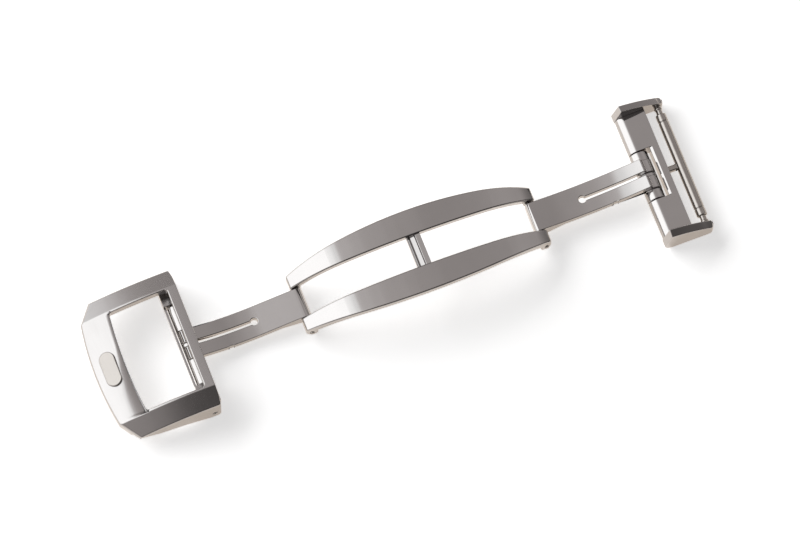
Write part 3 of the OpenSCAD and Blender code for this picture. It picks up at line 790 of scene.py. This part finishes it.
class BucklePlan:
    """The buckle from above: where its edges lie, and how high its face is."""

    def __init__(self, s):
        low, high = span("buckle_frame")
        self.s = s
        self.x0, self.x1 = low.x, high.x
        self.half = high.y
        self.top = high.z
        self.wall_in = self.half - s.wall
        self.slope = s.edge_drop / (self.half - s.face_half)
        self.window_x1 = self.x1 - s.window_back
        self.window_x0 = self.window_x1 - s.window_length

    def front(self, y):
        """The front edge: bowed in the middle, with a straight cut at each corner."""
        bow = self.x0 + self.s.front_bow - sqrt(self.s.front_bow ** 2 - y * y)
        cut = self.x0 + CORNER_X - (self.half - abs(y)) * CORNER_X / CORNER_Y
        return max(bow, cut)

    def window_left(self, y):
        """The window's bowed front edge, with its rounded corners."""
        y = min(abs(y), self.s.window_half)
        bow = self.window_x0 + self.s.window_bow - sqrt(self.s.window_bow ** 2 - y * y)
        return bow + self.corner_round(y)

    def window_right(self, y):
        """The window's straight hinge edge, with its rounded corners."""
        return self.window_x1 - self.corner_round(min(abs(y), self.s.window_half))

    def corner_round(self, y):
        """How far a rounded corner of the window takes its end in."""
        into = y - (self.s.window_half - WINDOW_ROUND)
        return WINDOW_ROUND - sqrt(WINDOW_ROUND ** 2 - into * into) if into > 0 else 0

    def roll(self, y):
        """Width of the front bar's rolled edge at the window, wider towards the near end."""
        t = min(max((ROLL_START - y) / (ROLL_START + self.s.window_half), 0), 1)
        t = t * t * (3 - 2 * t)
        width = self.s.roll_far + (self.s.roll_near - self.s.roll_far) * t
        return min(width, self.window_left(y) - self.front(y) - FRONT_ROUND - FRONT_FLAT)

    def plain(self, x, y):
        """Height of the face without its rounded edges."""
        along = self.x1 - x
        height = self.top - self.s.face_r + sqrt(self.s.face_r ** 2 - along * along)
        over = abs(y) - self.s.face_half
        if over > -CREASE:
            soft = min((over + CREASE) / (2 * CREASE), 1)
            height -= self.slope * (CREASE * soft * soft if over < CREASE else over)
        return height

    def height(self, x, y):
        """Height of the face with its edges rounded."""
        drop = round_off(x - self.front(y), FRONT_ROUND) + round_off(self.half - abs(y), EDGE_ROUND)
        drop += round_off(self.back(y) - x, EDGE_ROUND)
        left = self.window_left(y) - x
        right = x - self.window_right(y)
        beside = max(abs(y) - self.s.window_half, 0)
        drop += round_off(hypot(max(left, right, 0), beside), EDGE_ROUND)
        if left > 0:
            fade = max(1 - beside / (self.s.face_half - self.s.window_half), 0)
            drop += self.rolled(left, y) * fade
        return self.plain(x, y) - drop

    def rolled(self, distance, y):
        """How far the front bar's rolled edge has fallen at a distance from the window."""
        width = self.roll(y)
        if distance >= width:
            return 0
        return self.s.roll_drop * width / self.s.roll_near * (1 - distance / width) ** 2

    def back(self, y):
        """The hinge end, with its rounded corners."""
        into = abs(y) - (self.half - BACK_ROUND)
        return self.x1 - (BACK_ROUND - sqrt(BACK_ROUND ** 2 - into * into) if into > 0 else 0)

    def level(self, x, y, kind):
        """Height of the face, of a side wall's foot or of the plate's underside."""
        if kind == "top":
            return self.height(x, y)
        return self.wall_foot(x) if kind == "wall" else self.plain(x, y) - self.s.plate

    def wall_foot(self, x):
        """Height of the side walls' lower edge, round behind the pin."""
        foot = BUCKLE_PIN.y
        if x > BUCKLE_PIN.x:
            return foot - sqrt(max(foot * foot - (x - BUCKLE_PIN.x) ** 2, 0))
        points = [(self.x0 - PAST, WALL_FRONT), (self.x0 + CORNER_X, WALL_CORNER)]
        points += [(BUCKLE_PIN.x - ahead, z) for ahead, z in WALL_EDGE]
        for (xa, za), (xb, zb) in zip(points, points[1:]):
            if x <= xb:
                return za + (zb - za) * (x - xa) / (xb - xa)
        return 0


def buckle_rows(plan):
    """Y of each grid line along the clasp, from the near side to the far side."""
    s = plan.s
    rows = spread(0, s.window_half - WINDOW_ROUND, FACE_ROWS)[:-1]
    rows += [s.window_half - d for d in reversed(round_steps(WINDOW_ROUND, CORNER_CELLS))]
    rows += [s.window_half + d for d in round_steps(EDGE_ROUND, EDGE_CELLS)[1:]]
    rows += [s.face_half - CREASE, s.face_half, s.face_half + CREASE]
    rows += spread(s.face_half + CREASE, plan.wall_in, SLANT_ROWS)[1:]
    rows += [plan.half - d for d in reversed(round_steps(EDGE_ROUND, EDGE_CELLS))]
    rows = sorted(set(round(y, 5) for y in rows))
    return [-y for y in reversed(rows[1:])] + rows


def buckle_columns(plan, y):
    """X of the grid's points on a row, as three runs: front bar, window, hinge bar."""
    window_x0, window_x1 = plan.window_left(y), plan.window_right(y)
    front = [plan.front(y) + d for d in round_steps(FRONT_ROUND, CORNER_CELLS)]
    rolled = [window_x0 - d for d in reversed(round_steps(plan.roll(y), ROLL_CELLS))]
    bar = front + spread(front[-1], rolled[0], BAR_CELLS)[1:-1] + rolled
    window = spread(window_x0, window_x1, WINDOW_CELLS)[1:-1]
    hinge = [window_x1 + d for d in round_steps(EDGE_ROUND, EDGE_CELLS)]
    back = [plan.back(y) - d for d in reversed(round_steps(EDGE_ROUND, EDGE_CELLS))]
    return bar, window, hinge + spread(hinge[-1], back[0], HINGE_CELLS)[1:-1] + back


def buckle_solid(plan):
    """The buckle as a grid of cells around its window, with a face, an underside and edges."""
    rows = buckle_rows(plan)
    grid = [sum(buckle_columns(plan, y), []) for y in rows]
    bar, window, hinge = (len(run) for run in buckle_columns(plan, 0))
    bm = bmesh.new()
    verts = {}

    def vert(corner, kind):
        """The grid's point on the face, at a wall's foot or on the plate's underside."""
        if (corner, kind) not in verts:
            i, j = corner
            x, y = grid[j][i], rows[j]
            verts[corner, kind] = bm.verts.new((x, y, plan.level(x, y, kind)))
        return verts[corner, kind]

    def kind_of(i, j):
        """What a cell is: nothing, part of the plate or part of a side wall."""
        if not (0 <= i < bar + window + hinge - 1 and 0 <= j < len(rows) - 1):
            return None
        middle = (abs(rows[j]) + abs(rows[j + 1])) / 2
        if bar - 1 <= i < bar + window and middle < plan.s.window_half:
            return None
        return "wall" if middle > plan.wall_in else "plate"

    for i in range(bar + window + hinge - 1):
        for j in range(len(rows) - 1):
            kind = kind_of(i, j)
            if not kind:
                continue
            corners = [(i, j), (i + 1, j), (i + 1, j + 1), (i, j + 1)]
            bm.faces.new([vert(corner, "top") for corner in corners])
            bm.faces.new([vert(corner, kind) for corner in reversed(corners)])
            beside = (kind_of(i, j - 1), kind_of(i + 1, j), kind_of(i, j + 1), kind_of(i - 1, j))
            for other, a, b in zip(beside, corners, corners[1:] + corners[:1]):
                if other is None:
                    bm.faces.new([vert(a, kind), vert(b, kind), vert(b, "top"), vert(a, "top")])
                elif other != kind and kind == "wall":
                    bm.faces.new([vert(a, kind), vert(b, kind), vert(b, other), vert(a, other)])
    bmesh.ops.remove_doubles(bm, verts=bm.verts, dist=WELD)
    bmesh.ops.recalc_face_normals(bm, faces=bm.faces)
    return bm


class CLASP_OT_buckle(bpy.types.Operator):
    """Builds the buckle's curved frame with its window and walls"""
    bl_idname = "clasp.buckle"
    bl_label = "Buckle frame"

    def execute(self, context):
        plan = BucklePlan(in_mm(context.scene.clasp_buckle))
        bm = buckle_solid(plan)
        pin_low, pin_high = span("buckle_hinge_pin")
        radius = (pin_high.z - pin_low.z) / 2
        for side in (-1, 1):
            low, high = sorted((side * pin_high.y, side * (plan.half + PAST)))
            bm = combine(bm, rod(BUCKLE_PIN, radius, low, high))
        finish_piece(bm, "buckle_frame_brushed", "buckle_frame", "brushed_steel")
        return {"FINISHED"}


# The cross plate: clear gap beside the barrel, width and height of its thin strip, rounded edges
# and steps around its foot
BARREL_GAP = 0.1
STRIP_WIDE = 0.3
STRIP_HIGH = 0.4
PLATE_EDGE = 0.06
FOOT_STEPS = 20


class CLASP_OT_cross_plate(bpy.types.Operator):
    """Builds the cross plate beside and in front of the buckle's barrel"""
    bl_idname = "clasp.cross_plate"
    bl_label = "Cross plate"

    def execute(self, context):
        low, high = span("buckle_cross_plate")
        barrel = span("left_blade")[1].y + BARREL_GAP
        level = BUCKLE_PIN.y
        outline = arc(BUCKLE_PIN, level - low.z, pi / 2, 1.5 * pi, FOOT_STEPS)
        outline += [(low.x, level), (low.x, high.z), (high.x, high.z), (high.x, level)]
        near, far = (prism(outline, *sorted((side * barrel, side * high.y))) for side in (-1, 1))
        strip = block((low.x, low.y, level), (low.x + STRIP_WIDE, high.y, level + STRIP_HIGH))
        bm = combine(combine(near, strip, "UNION"), far, "UNION")
        finish_piece(bm, "cross_plate_brushed", "buckle_cross_plate", "brushed_steel", PLATE_EDGE)
        return {"FINISHED"}


# The plaque: width, thickness over the face, bevel, steps around an end, and the strips into which
# it is cut to follow the face, as their count and their share of the width
PLAQUE_WIDE = 1.9
PLAQUE_THICK = 0.35
PLAQUE_EDGE = 0.1
PLAQUE_STEPS = 16
PLAQUE_SLICES = 8
PLAQUE_SLICED = 0.85


class CLASP_OT_plaque(bpy.types.Operator):
    """Builds the plain round-ended plaque on the buckle's front bar"""
    bl_idname = "clasp.plaque"
    bl_label = "Plaque"

    def execute(self, context):
        plan = BucklePlan(in_mm(context.scene.clasp_buckle))
        radius = PLAQUE_WIDE / 2
        straight = span("buckle_plaque")[1].y - radius
        middle = (plan.x0 + plan.window_x0) / 2
        ring = []
        for side, start in ((-1, -pi), (1, 0)):
            ring += [(middle + radius * cos(a), side * straight + radius * sin(a))
                     for a in spread(start, start + pi, PLAQUE_STEPS)]
        bm = upright_prism(ring, 0, 1)
        sliced = radius * PLAQUE_SLICED
        slice_along_x(bm, spread(middle - sliced, middle + sliced, PLAQUE_SLICES))
        for vert in bm.verts:
            rise = PLAQUE_THICK if vert.co.z > 0.5 else 0
            vert.co.z = plan.plain(vert.co.x, vert.co.y) + rise
        bmesh.ops.recalc_face_normals(bm, faces=bm.faces)
        finish_piece(bm, "buckle_plaque_polished", "buckle_plaque", "pin_steel", PLAQUE_EDGE,
                     segments=4)
        return {"FINISHED"}


# End piece

# The end bar: rounded edges, metal left behind its pocket, slant of the pocket's back wall as run
# and fall, and steps around its half round
BAR_EDGE = 0.06
POCKET_BACK = 0.85
SLANT = 0.3
SLANT_FALL = 0.2
HALF_ROUND_STEPS = 32


class CLASP_OT_end_bar(bpy.types.Operator):
    """Builds the end bar with its half-round edge and its pocket"""
    bl_idname = "clasp.end_bar"
    bl_label = "End bar"

    def execute(self, context):
        s = in_mm(context.scene.clasp_end)
        low, high = span("end_bar")
        outline = arc(END_PIN, END_PIN.y - low.z, -pi, 0, HALF_ROUND_STEPS)
        outline += [(high.x, high.z), (high.x, low.z)]
        pocket = high.x - POCKET_BACK
        wall = pocket - SLANT
        room = [(low.x - PAST, -PAST), (wall, -PAST), (wall, high.z - SLANT_FALL), (pocket, high.z),
                (pocket, high.z + PAST), (low.x - PAST, high.z + PAST)]
        bm = combine(prism(outline, low.y, high.y), prism(room, -s.pocket_half, s.pocket_half))
        finish_piece(bm, "end_bar_polished", "end_bar", "polished_steel", BAR_EDGE)
        return {"FINISHED"}


# The cheeks: rounded edges, crest before the hinge axis, rounds of the strap end from the side, at
# its outer and its inner corner, and the lean at which the foot runs into the hinge's round
CHEEK_EDGE = 0.1
CREST_BACK = 0.4
TAIL_BACK = 0.5
CORNER_OUT = 0.6
CORNER_IN = 0.3
FOOT_LEAN = radians(10)
# What the corners' rounds take off the strap end, and how far they stay clear of the flat sides
END_TRIM = 0.01
SIDE_CLEAR = 0.02
# How far under the top's lowest point, and inside its arc, a corner still belongs to the top
TOP_SLACK = 0.01
ARC_SLACK = 0.02
# Radii of the holes for the hinge pin and for the strap bar's tips, and their depth
PIN_HOLE = 0.35
TIP_HOLE = 0.44
HOLE_DEEP = 0.6
# Steps along a cheek's top, the rounds of its strap end, below and from above, and its hinge end
CHEEK_TOP_STEPS = 20
TAIL_STEPS = 6
TAIL_UNDER_STEPS = 10
CORNER_STEPS = 8
HINGE_STEPS = 22


def cheek_outline(s, high):
    """Side view of a cheek, with its top's points alone and the top arc's centre."""
    crest = Vector((END_PIN.x - CREST_BACK, high.z))
    tail = Vector((high.x, s.tail_height))
    centre = arc_through(crest, tail, s.cheek_r, 1)
    start, stop = (atan2(p.x - centre.x, p.y - centre.y) for p in (crest, tail))
    top = arc(centre, s.cheek_r, start, stop - TAIL_BACK / s.cheek_r, CHEEK_TOP_STEPS)
    end_x, end_z = top[-1]
    outline = top + [(end_x + (high.x - end_x) * sin(a), end_z - TAIL_BACK * (1 - cos(a)))
                     for a in quarter(TAIL_STEPS)[1:]]
    outline += arc((high.x - s.tail_r, s.tail_r), s.tail_r, pi / 2, pi, TAIL_UNDER_STEPS)
    outline += arc(END_PIN, END_PIN.y, pi, 1.5 * pi + FOOT_LEAN, HINGE_STEPS)
    return outline, top, centre


def cheek_plan(low, high, side):
    """A cheek from above, with the corners of its strap end rounded."""
    end, outer, inner = high.x - END_TRIM, high.y + SIDE_CLEAR, low.y - SIDE_CLEAR
    outline = [(low.x - PAST, inner), (low.x - PAST, outer)]
    outline += [(end - CORNER_OUT * (1 - sin(a)), outer - CORNER_OUT * (1 - cos(a)))
                for a in quarter(CORNER_STEPS)]
    outline += [(end - CORNER_IN * (1 - cos(a)), inner + CORNER_IN * (1 - sin(a)))
                for a in quarter(CORNER_STEPS)]
    return [(x, side * y) for x, y in outline]


def cheek(s, slope, side):
    """A cheek on the far side, 1, or the near side, -1, whose top slopes down outwards."""
    low, high = span("end_cheek_far")
    outline, top, centre = cheek_outline(s, high)
    bm = prism(outline, *sorted((side * low.y, side * high.y)))
    slice_along_x(bm, [point[0] for point in top[2:-1:3]])
    for vert in bm.verts:
        behind = vert.co.x > END_PIN.x - CREST_BACK - TOP_SLACK
        on_arc = hypot(vert.co.x - centre.x, vert.co.z - centre.y) > s.cheek_r - ARC_SLACK
        if behind and on_arc and vert.co.z > s.tail_height - TOP_SLACK:
            vert.co.z -= slope * (abs(vert.co.y) - low.y)
    bm = combine(bm, upright_prism(cheek_plan(low, high, side), -PAST, ABOVE), "INTERSECT")
    for at, radius in ((END_PIN, PIN_HOLE), (BAR_AXIS, TIP_HOLE)):
        start, stop = sorted((side * (low.y - PAST), side * (low.y + HOLE_DEEP)))
        bm = combine(bm, rod(at, radius, start, stop))
    return bm


class CLASP_OT_cheeks(bpy.types.Operator):
    """Builds the two wedge-shaped cheeks of the end piece"""
    bl_idname = "clasp.cheeks"
    bl_label = "End cheeks"

    def execute(self, context):
        s = in_mm(context.scene.clasp_end)
        slope = tan(context.scene.clasp_end.cheek_slope)
        for node, side in (("end_cheek_far", 1), ("end_cheek_near", -1)):
            bm = cheek(s, slope, side)
            finish_piece(bm, node + "_polished", node, "polished_steel", CHEEK_EDGE)
        return {"FINISHED"}


# Strap bar

# The tube: wall, thickness of the lips that keep the tips in, gap around a tip, and the round of
# its ends as two steps
TUBE_WALL = 0.15
LIP = 0.3
TIP_GAP = 0.04
MOUTH_ROUND = 0.1
MOUTH_STEP = 0.03
# The tube's grooves: distance from its ends, half width and depth
GROOVE_IN = 1.0
GROOVE_HALF = 0.1
GROOVE_DEEP = 0.09
# The tips: radii of the head inside the tube and of the shank, gap before the lip, and bevel
HEAD_R = 0.46
TIP_R = 0.4
HEAD_GAP = 0.01
TIP_BEVEL = 0.12
# The tips' collars: height over the shank, length, gap to the cheek, bevel, and the length of the
# slope at the bevel's foot
COLLAR_OVER = 0.1
COLLAR_LONG = 0.3
COLLAR_GAP = 0.2
COLLAR_BEVEL = 0.06
COLLAR_SLOPE = 0.03
# The spring: radius of its wire, turns of a half, steps around a turn and sides of the wire
WIRE_R = 0.08
COIL_TURNS = 7
TURN_STEPS = 16
WIRE_SIDES = 8
# The peg: rounded edges, and its gap around the tube
PEG_EDGE = 0.16
PEG_GAP = 0.05


def bar_tube():
    """The tube, with a groove near each end and a lip in each mouth."""
    low, high = span("strap_bar_tube")
    r, half = (high.z - low.z) / 2, high.y
    bore, neck = r - TUBE_WALL, TIP_R + TIP_GAP
    groove = half - GROOVE_IN
    outer = [(r, -groove - GROOVE_HALF), (r - GROOVE_DEEP, -groove - GROOVE_HALF / 2),
             (r - GROOVE_DEEP, -groove + GROOVE_HALF / 2), (r, -groove + GROOVE_HALF)]
    mouth = [(neck, -half), (r - MOUTH_ROUND, -half), (r - MOUTH_STEP, -half + MOUTH_STEP),
             (r, -half + MOUTH_ROUND)]
    inside = [(neck, half - LIP), (bore, half - LIP), (bore, LIP - half), (neck, LIP - half)]
    profile = mouth + outer + [(a, -y) for a, y in reversed(mouth + outer)]
    bm = turned(profile + inside + mouth[:1], BAR_AXIS)
    bmesh.ops.remove_doubles(bm, verts=bm.verts, dist=WELD)
    return bm


def coil(side):
    """One half of the spring, from the middle of the bar to a tip."""
    low, high = span("strap_bar_spring")
    reach = (high.x - low.x) / 2 - WIRE_R
    rings = []
    bm = bmesh.new()
    for i in range(COIL_TURNS * TURN_STEPS + 1):
        turn = 2 * pi * i / TURN_STEPS
        y = side * (WIRE_R / 2 + (high.y - WIRE_R * 1.5) * i / (COIL_TURNS * TURN_STEPS))
        ring = []
        for k in range(WIRE_SIDES):
            around = 2 * pi * k / WIRE_SIDES
            r = reach + WIRE_R * cos(around)
            ring.append(bm.verts.new((BAR_AXIS.x + r * cos(turn), y + WIRE_R * sin(around),
                                      BAR_AXIS.y + r * sin(turn))))
        rings.append(ring)
    for one, two in zip(rings, rings[1:]):
        for k in range(WIRE_SIDES):
            j = (k + 1) % WIRE_SIDES
            bm.faces.new((one[k], one[j], two[j], two[k]))
    bm.faces.new(rings[0])
    bm.faces.new(rings[-1])
    bmesh.ops.recalc_face_normals(bm, faces=bm.faces)
    return bm


def tip(side):
    """A sprung tip: a head in the tube, a shank with a collar, and a bevelled end."""
    low, high = span("strap_bar_tip_far")
    face = span("strap_bar_tube")[1].y - LIP - HEAD_GAP
    collar = TIP_R + COLLAR_OVER
    stop = span("end_cheek_far")[0].y - COLLAR_GAP
    start = stop - COLLAR_LONG
    profile = [(0, low.y), (HEAD_R, low.y), (HEAD_R, face), (TIP_R, face),
               (TIP_R, start - COLLAR_SLOPE), (collar - COLLAR_BEVEL, start),
               (collar, start + COLLAR_BEVEL), (collar, stop - COLLAR_BEVEL),
               (collar - COLLAR_BEVEL, stop), (TIP_R, stop + COLLAR_SLOPE),
               (TIP_R, high.y - TIP_BEVEL), (TIP_R - TIP_BEVEL, high.y), (0, high.y)]
    return turned([(r, side * y) for r, y in profile], BAR_AXIS)


def peg():
    """The peg from the end bar towards the tube, hollowed to the tube's round."""
    low, high = span("strap_peg")
    tube_low, tube_high = span("strap_bar_tube")
    bm = block((span("end_bar")[1].x, low.y, low.z), (BAR_AXIS.x, high.y, high.z))
    round_r = (tube_high.x - tube_low.x) / 2 + PEG_GAP
    bm = combine(bm, rod(BAR_AXIS, round_r, low.y - PAST, high.y + PAST))
    beyond = block((high.x, low.y - PAST, BELOW), (BAR_AXIS.x + PAST, high.y + PAST, ABOVE))
    return combine(bm, beyond)


class CLASP_OT_strap_bar(bpy.types.Operator):
    """Builds the sprung strap bar, its tube, coil spring and tips, and the peg beside it"""
    bl_idname = "clasp.strap_bar"
    bl_label = "Strap bar"

    def execute(self, context):
        finish_piece(bar_tube(), "strap_bar_tube_turned", "strap_bar_tube", "pin_steel")
        for side, end in ((1, "far"), (-1, "near")):
            half = finish_piece(coil(side), "strap_bar_spring_" + end, "strap_bar_spring",
                                "spring_steel")
            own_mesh(half)
        for side, node in ((1, "strap_bar_tip_far"), (-1, "strap_bar_tip_near")):
            finish_piece(tip(side), node + "_turned", node, "pin_steel")
        finish_piece(peg(), "strap_peg_polished", "strap_peg", "pin_steel", PEG_EDGE, segments=5)
        return {"FINISHED"}


# Table, light and camera

# Half the table's width in metres, how brightly it glows where it is seen, how strongly the
# surroundings light it, and the warm tint painted into its glow where the steel mirrors it, a
# painted reflection colour; seen directly the table stays white
TABLE_HALF = 1.5
TABLE_GLOW = 0.61
TABLE_SKY = 0.07
TABLE_MIRRORED = (1.0, 0.87, 0.75)
WHITE = (1, 1, 1, 1)
# Tint of the studio where it is dim, and the brightness over which that tint fades to white
STUDIO_DIM = (1.075, 0.99, 0.97)
DIM_RANGE = (0.45, 1.3)
# The lamp: power in watts, and place and size in metres
KEY_POWER = 6.8
KEY_PLACE = (-0.44, 0.53, 0.39)
KEY_SIZE = (0.9, 0.45)
# Brightness of the surroundings by direction, along the clasp and across it from near to far, and
# the brightness that a ramp's white stands for
ALONG = [(-0.60, 2.0), (-0.42, 1.95), (-0.30, 1.62), (-0.22, 1.30), (-0.165, 0.74), (-0.03, 0.58),
         (0.10, 0.50), (0.22, 0.44), (0.5, 0.47), (0.75, 0.53), (0.9, 0.50), (0.985, 0.12)]
ACROSS = [(-0.95, 0.06), (-0.75, 0.13), (-0.62, 0.21), (-0.42, 0.24), (-0.28, 0.26), (-0.12, 0.6),
          (0.06, 0.97), (0.2, 1.0), (0.42, 1.0), (0.6, 0.7), (0.85, 0.68), (0.95, 0.74)]
RAMP_FULL = 2.0
# Camera: direction in degrees, sensor and width of the view in millimetres, distance and aim, and
# the nearest and farthest it sees in metres
AZIMUTH = -21.04
ELEVATION = 72.1
SENSOR = 36.0
FRAME_WIDTH = 96.4
CAMERA_FAR = 1000.0
AIM = (0.91, 0.0, 2.03)
SIGHT = (0.1, 10)


def ramped(tree, value, stops):
    """A smooth curve through stops of place, from -1 to 1, and level, as a share of RAMP_FULL."""
    made = add_node(tree, "ShaderNodeValToRGB")
    ramp = made.color_ramp
    ramp.interpolation = "EASE"
    while len(ramp.elements) < len(stops):
        ramp.elements.new(0.5)
    for element, (at, level) in zip(ramp.elements, stops):
        element.position = (at + 1) / 2
        element.color = (*[level / RAMP_FULL] * 3, 1)
    tree.links.new(ranged(tree, value, 0, 1, -1, 1), made.inputs[0])
    return made.outputs["Color"]


def table_material(colour):
    """White, with a glow where the camera, a mirror or a lens looks straight at it; the glow that
    the steel mirrors is tinted warm, a painted reflection colour.
    """
    material = bpy.data.materials.new("table_white")
    material.use_nodes = True
    tree = material.node_tree
    tree.nodes.clear()
    path = add_node(tree, "ShaderNodeLightPath").outputs
    seen = reckoned(tree, "MAXIMUM", path["Is Camera Ray"], path["Is Glossy Ray"])
    seen = reckoned(tree, "MAXIMUM", seen, path["Is Transmission Ray"])
    glow = add_node(tree, "ShaderNodeEmission")
    feed(tree, reckoned(tree, "MULTIPLY", seen, TABLE_GLOW), glow.inputs["Strength"])
    # Painted reflection colour: the steel mirrors the table's glow tinted warm, while the camera
    # sees it white
    feed(tree, mixed(tree, "RGBA", path["Is Camera Ray"], (*TABLE_MIRRORED, 1), WHITE),
         glow.inputs["Color"])
    diffuse = add_node(tree, "ShaderNodeBsdfDiffuse", Color=(*colour, 1))
    both = add_node(tree, "ShaderNodeAddShader")
    feed(tree, diffuse.outputs[0], both.inputs[0])
    feed(tree, glow.outputs[0], both.inputs[1])
    out = add_node(tree, "ShaderNodeOutputMaterial")
    feed(tree, both.outputs[0], out.inputs["Surface"])
    return material


def studio():
    """A studio that is brighter to the left and the far side, white to the camera itself."""
    world = bpy.data.worlds.new("studio")
    world.use_nodes = True
    tree = world.node_tree
    background = tree.nodes["Background"]
    place = add_node(tree, "ShaderNodeTexCoord")
    split = add_node(tree, "ShaderNodeSeparateXYZ")
    feed(tree, place.outputs["Generated"], split.inputs[0])
    along = ramped(tree, split.outputs["X"], ALONG)
    across = ramped(tree, split.outputs["Y"], ACROSS)
    share = reckoned(tree, "MULTIPLY", along, across)
    level = reckoned(tree, "MULTIPLY", share, RAMP_FULL ** 2)
    tint = mixed(tree, "RGBA", ranged(tree, level, 0, 1, *DIM_RANGE), (*STUDIO_DIM, 1), WHITE)
    feed(tree, tint, background.inputs["Color"])
    path = add_node(tree, "ShaderNodeLightPath").outputs
    even = mixed(tree, "FLOAT", path["Is Diffuse Ray"], level, TABLE_SKY)
    feed(tree, mixed(tree, "FLOAT", path["Is Camera Ray"], even, 1.0),
         background.inputs["Strength"])
    return world


class CLASP_OT_stage(bpy.types.Operator):
    """Builds the table, the light and the camera"""
    bl_idname = "clasp.stage"
    bl_label = "Table, light and camera"

    def execute(self, context):
        self.table(context)
        context.scene.world = studio()
        self.lamp(context)
        self.camera(context)
        context.scene.view_settings.view_transform = "Standard"
        return {"FINISHED"}

    def table(self, context):
        corners = [(x, y, 0) for x, y in ((-1, -1), (1, -1), (1, 1), (-1, 1))]
        mesh = bpy.data.meshes.new("table")
        mesh.from_pydata([Vector(corner) * TABLE_HALF for corner in corners], [], [(0, 1, 2, 3)])
        mesh.materials.append(table_material(context.scene.clasp_finish.table))
        table = bpy.data.objects.new("table", mesh)
        context.scene.collection.objects.link(table)

    def lamp(self, context):
        light = bpy.data.lights.new("key", "AREA")
        light.shape = "RECTANGLE"
        light.size, light.size_y = KEY_SIZE
        light.energy = KEY_POWER
        key = bpy.data.objects.new("key", light)
        key.location = KEY_PLACE
        key.rotation_euler = (-key.location).to_track_quat("-Z", "Y").to_euler()
        key.visible_glossy = False
        context.scene.collection.objects.link(key)

    def camera(self, context):
        data = bpy.data.cameras.new("camera")
        data.lens = SENSOR * CAMERA_FAR / FRAME_WIDTH
        data.sensor_width = SENSOR
        data.clip_start, data.clip_end = SIGHT
        camera = bpy.data.objects.new("camera", data)
        a, e = radians(AZIMUTH), radians(ELEVATION)
        back = Vector((sin(a) * cos(e), -cos(a) * cos(e), sin(e)))
        camera.location = Vector(AIM) * MM + back * CAMERA_FAR * MM
        camera.rotation_euler = (-back).to_track_quat("-Z", "Y").to_euler()
        context.scene.collection.objects.link(camera)
        context.scene.camera = camera


OPERATORS = [CLASP_OT_finishes, CLASP_OT_rails, CLASP_OT_channel, CLASP_OT_pins, CLASP_OT_blades,
             CLASP_OT_buckle, CLASP_OT_cross_plate, CLASP_OT_plaque, CLASP_OT_end_bar,
             CLASP_OT_cheeks, CLASP_OT_strap_bar, CLASP_OT_stage]


class CLASP_PT_panel(bpy.types.Panel):
    """Lists the clasp's sizes, colours and build steps"""
    bl_idname = "CLASP_PT_panel"
    bl_label = "Deployant clasp"
    bl_space_type = "VIEW_3D"
    bl_region_type = "UI"
    bl_category = "Clasp"

    def draw(self, context):
        for operator in OPERATORS:
            self.layout.operator(operator.bl_idname)
        for name, group in GROUPS.items():
            column = self.layout.column(heading=group.__name__)
            for prop in group.__annotations__:
                column.prop(getattr(context.scene, name), prop)


def register():
    """Adds the sizes, the build steps and the panel to Blender."""
    for cls in [*GROUPS.values(), *OPERATORS, CLASP_PT_panel]:
        bpy.utils.register_class(cls)
    for name, group in GROUPS.items():
        setattr(bpy.types.Scene, name, bpy.props.PointerProperty(type=group))


def unregister():
    """Takes them out again."""
    for name in GROUPS:
        delattr(bpy.types.Scene, name)
    for cls in reversed([*GROUPS.values(), *OPERATORS, CLASP_PT_panel]):
        bpy.utils.unregister_class(cls)


def main():
    """Builds the clasp and its stage step by step."""
    register()
    for operator in OPERATORS:
        group, name = operator.bl_idname.split(".")
        getattr(getattr(bpy.ops, group), name)()


if __name__ == "__main__":
    main()
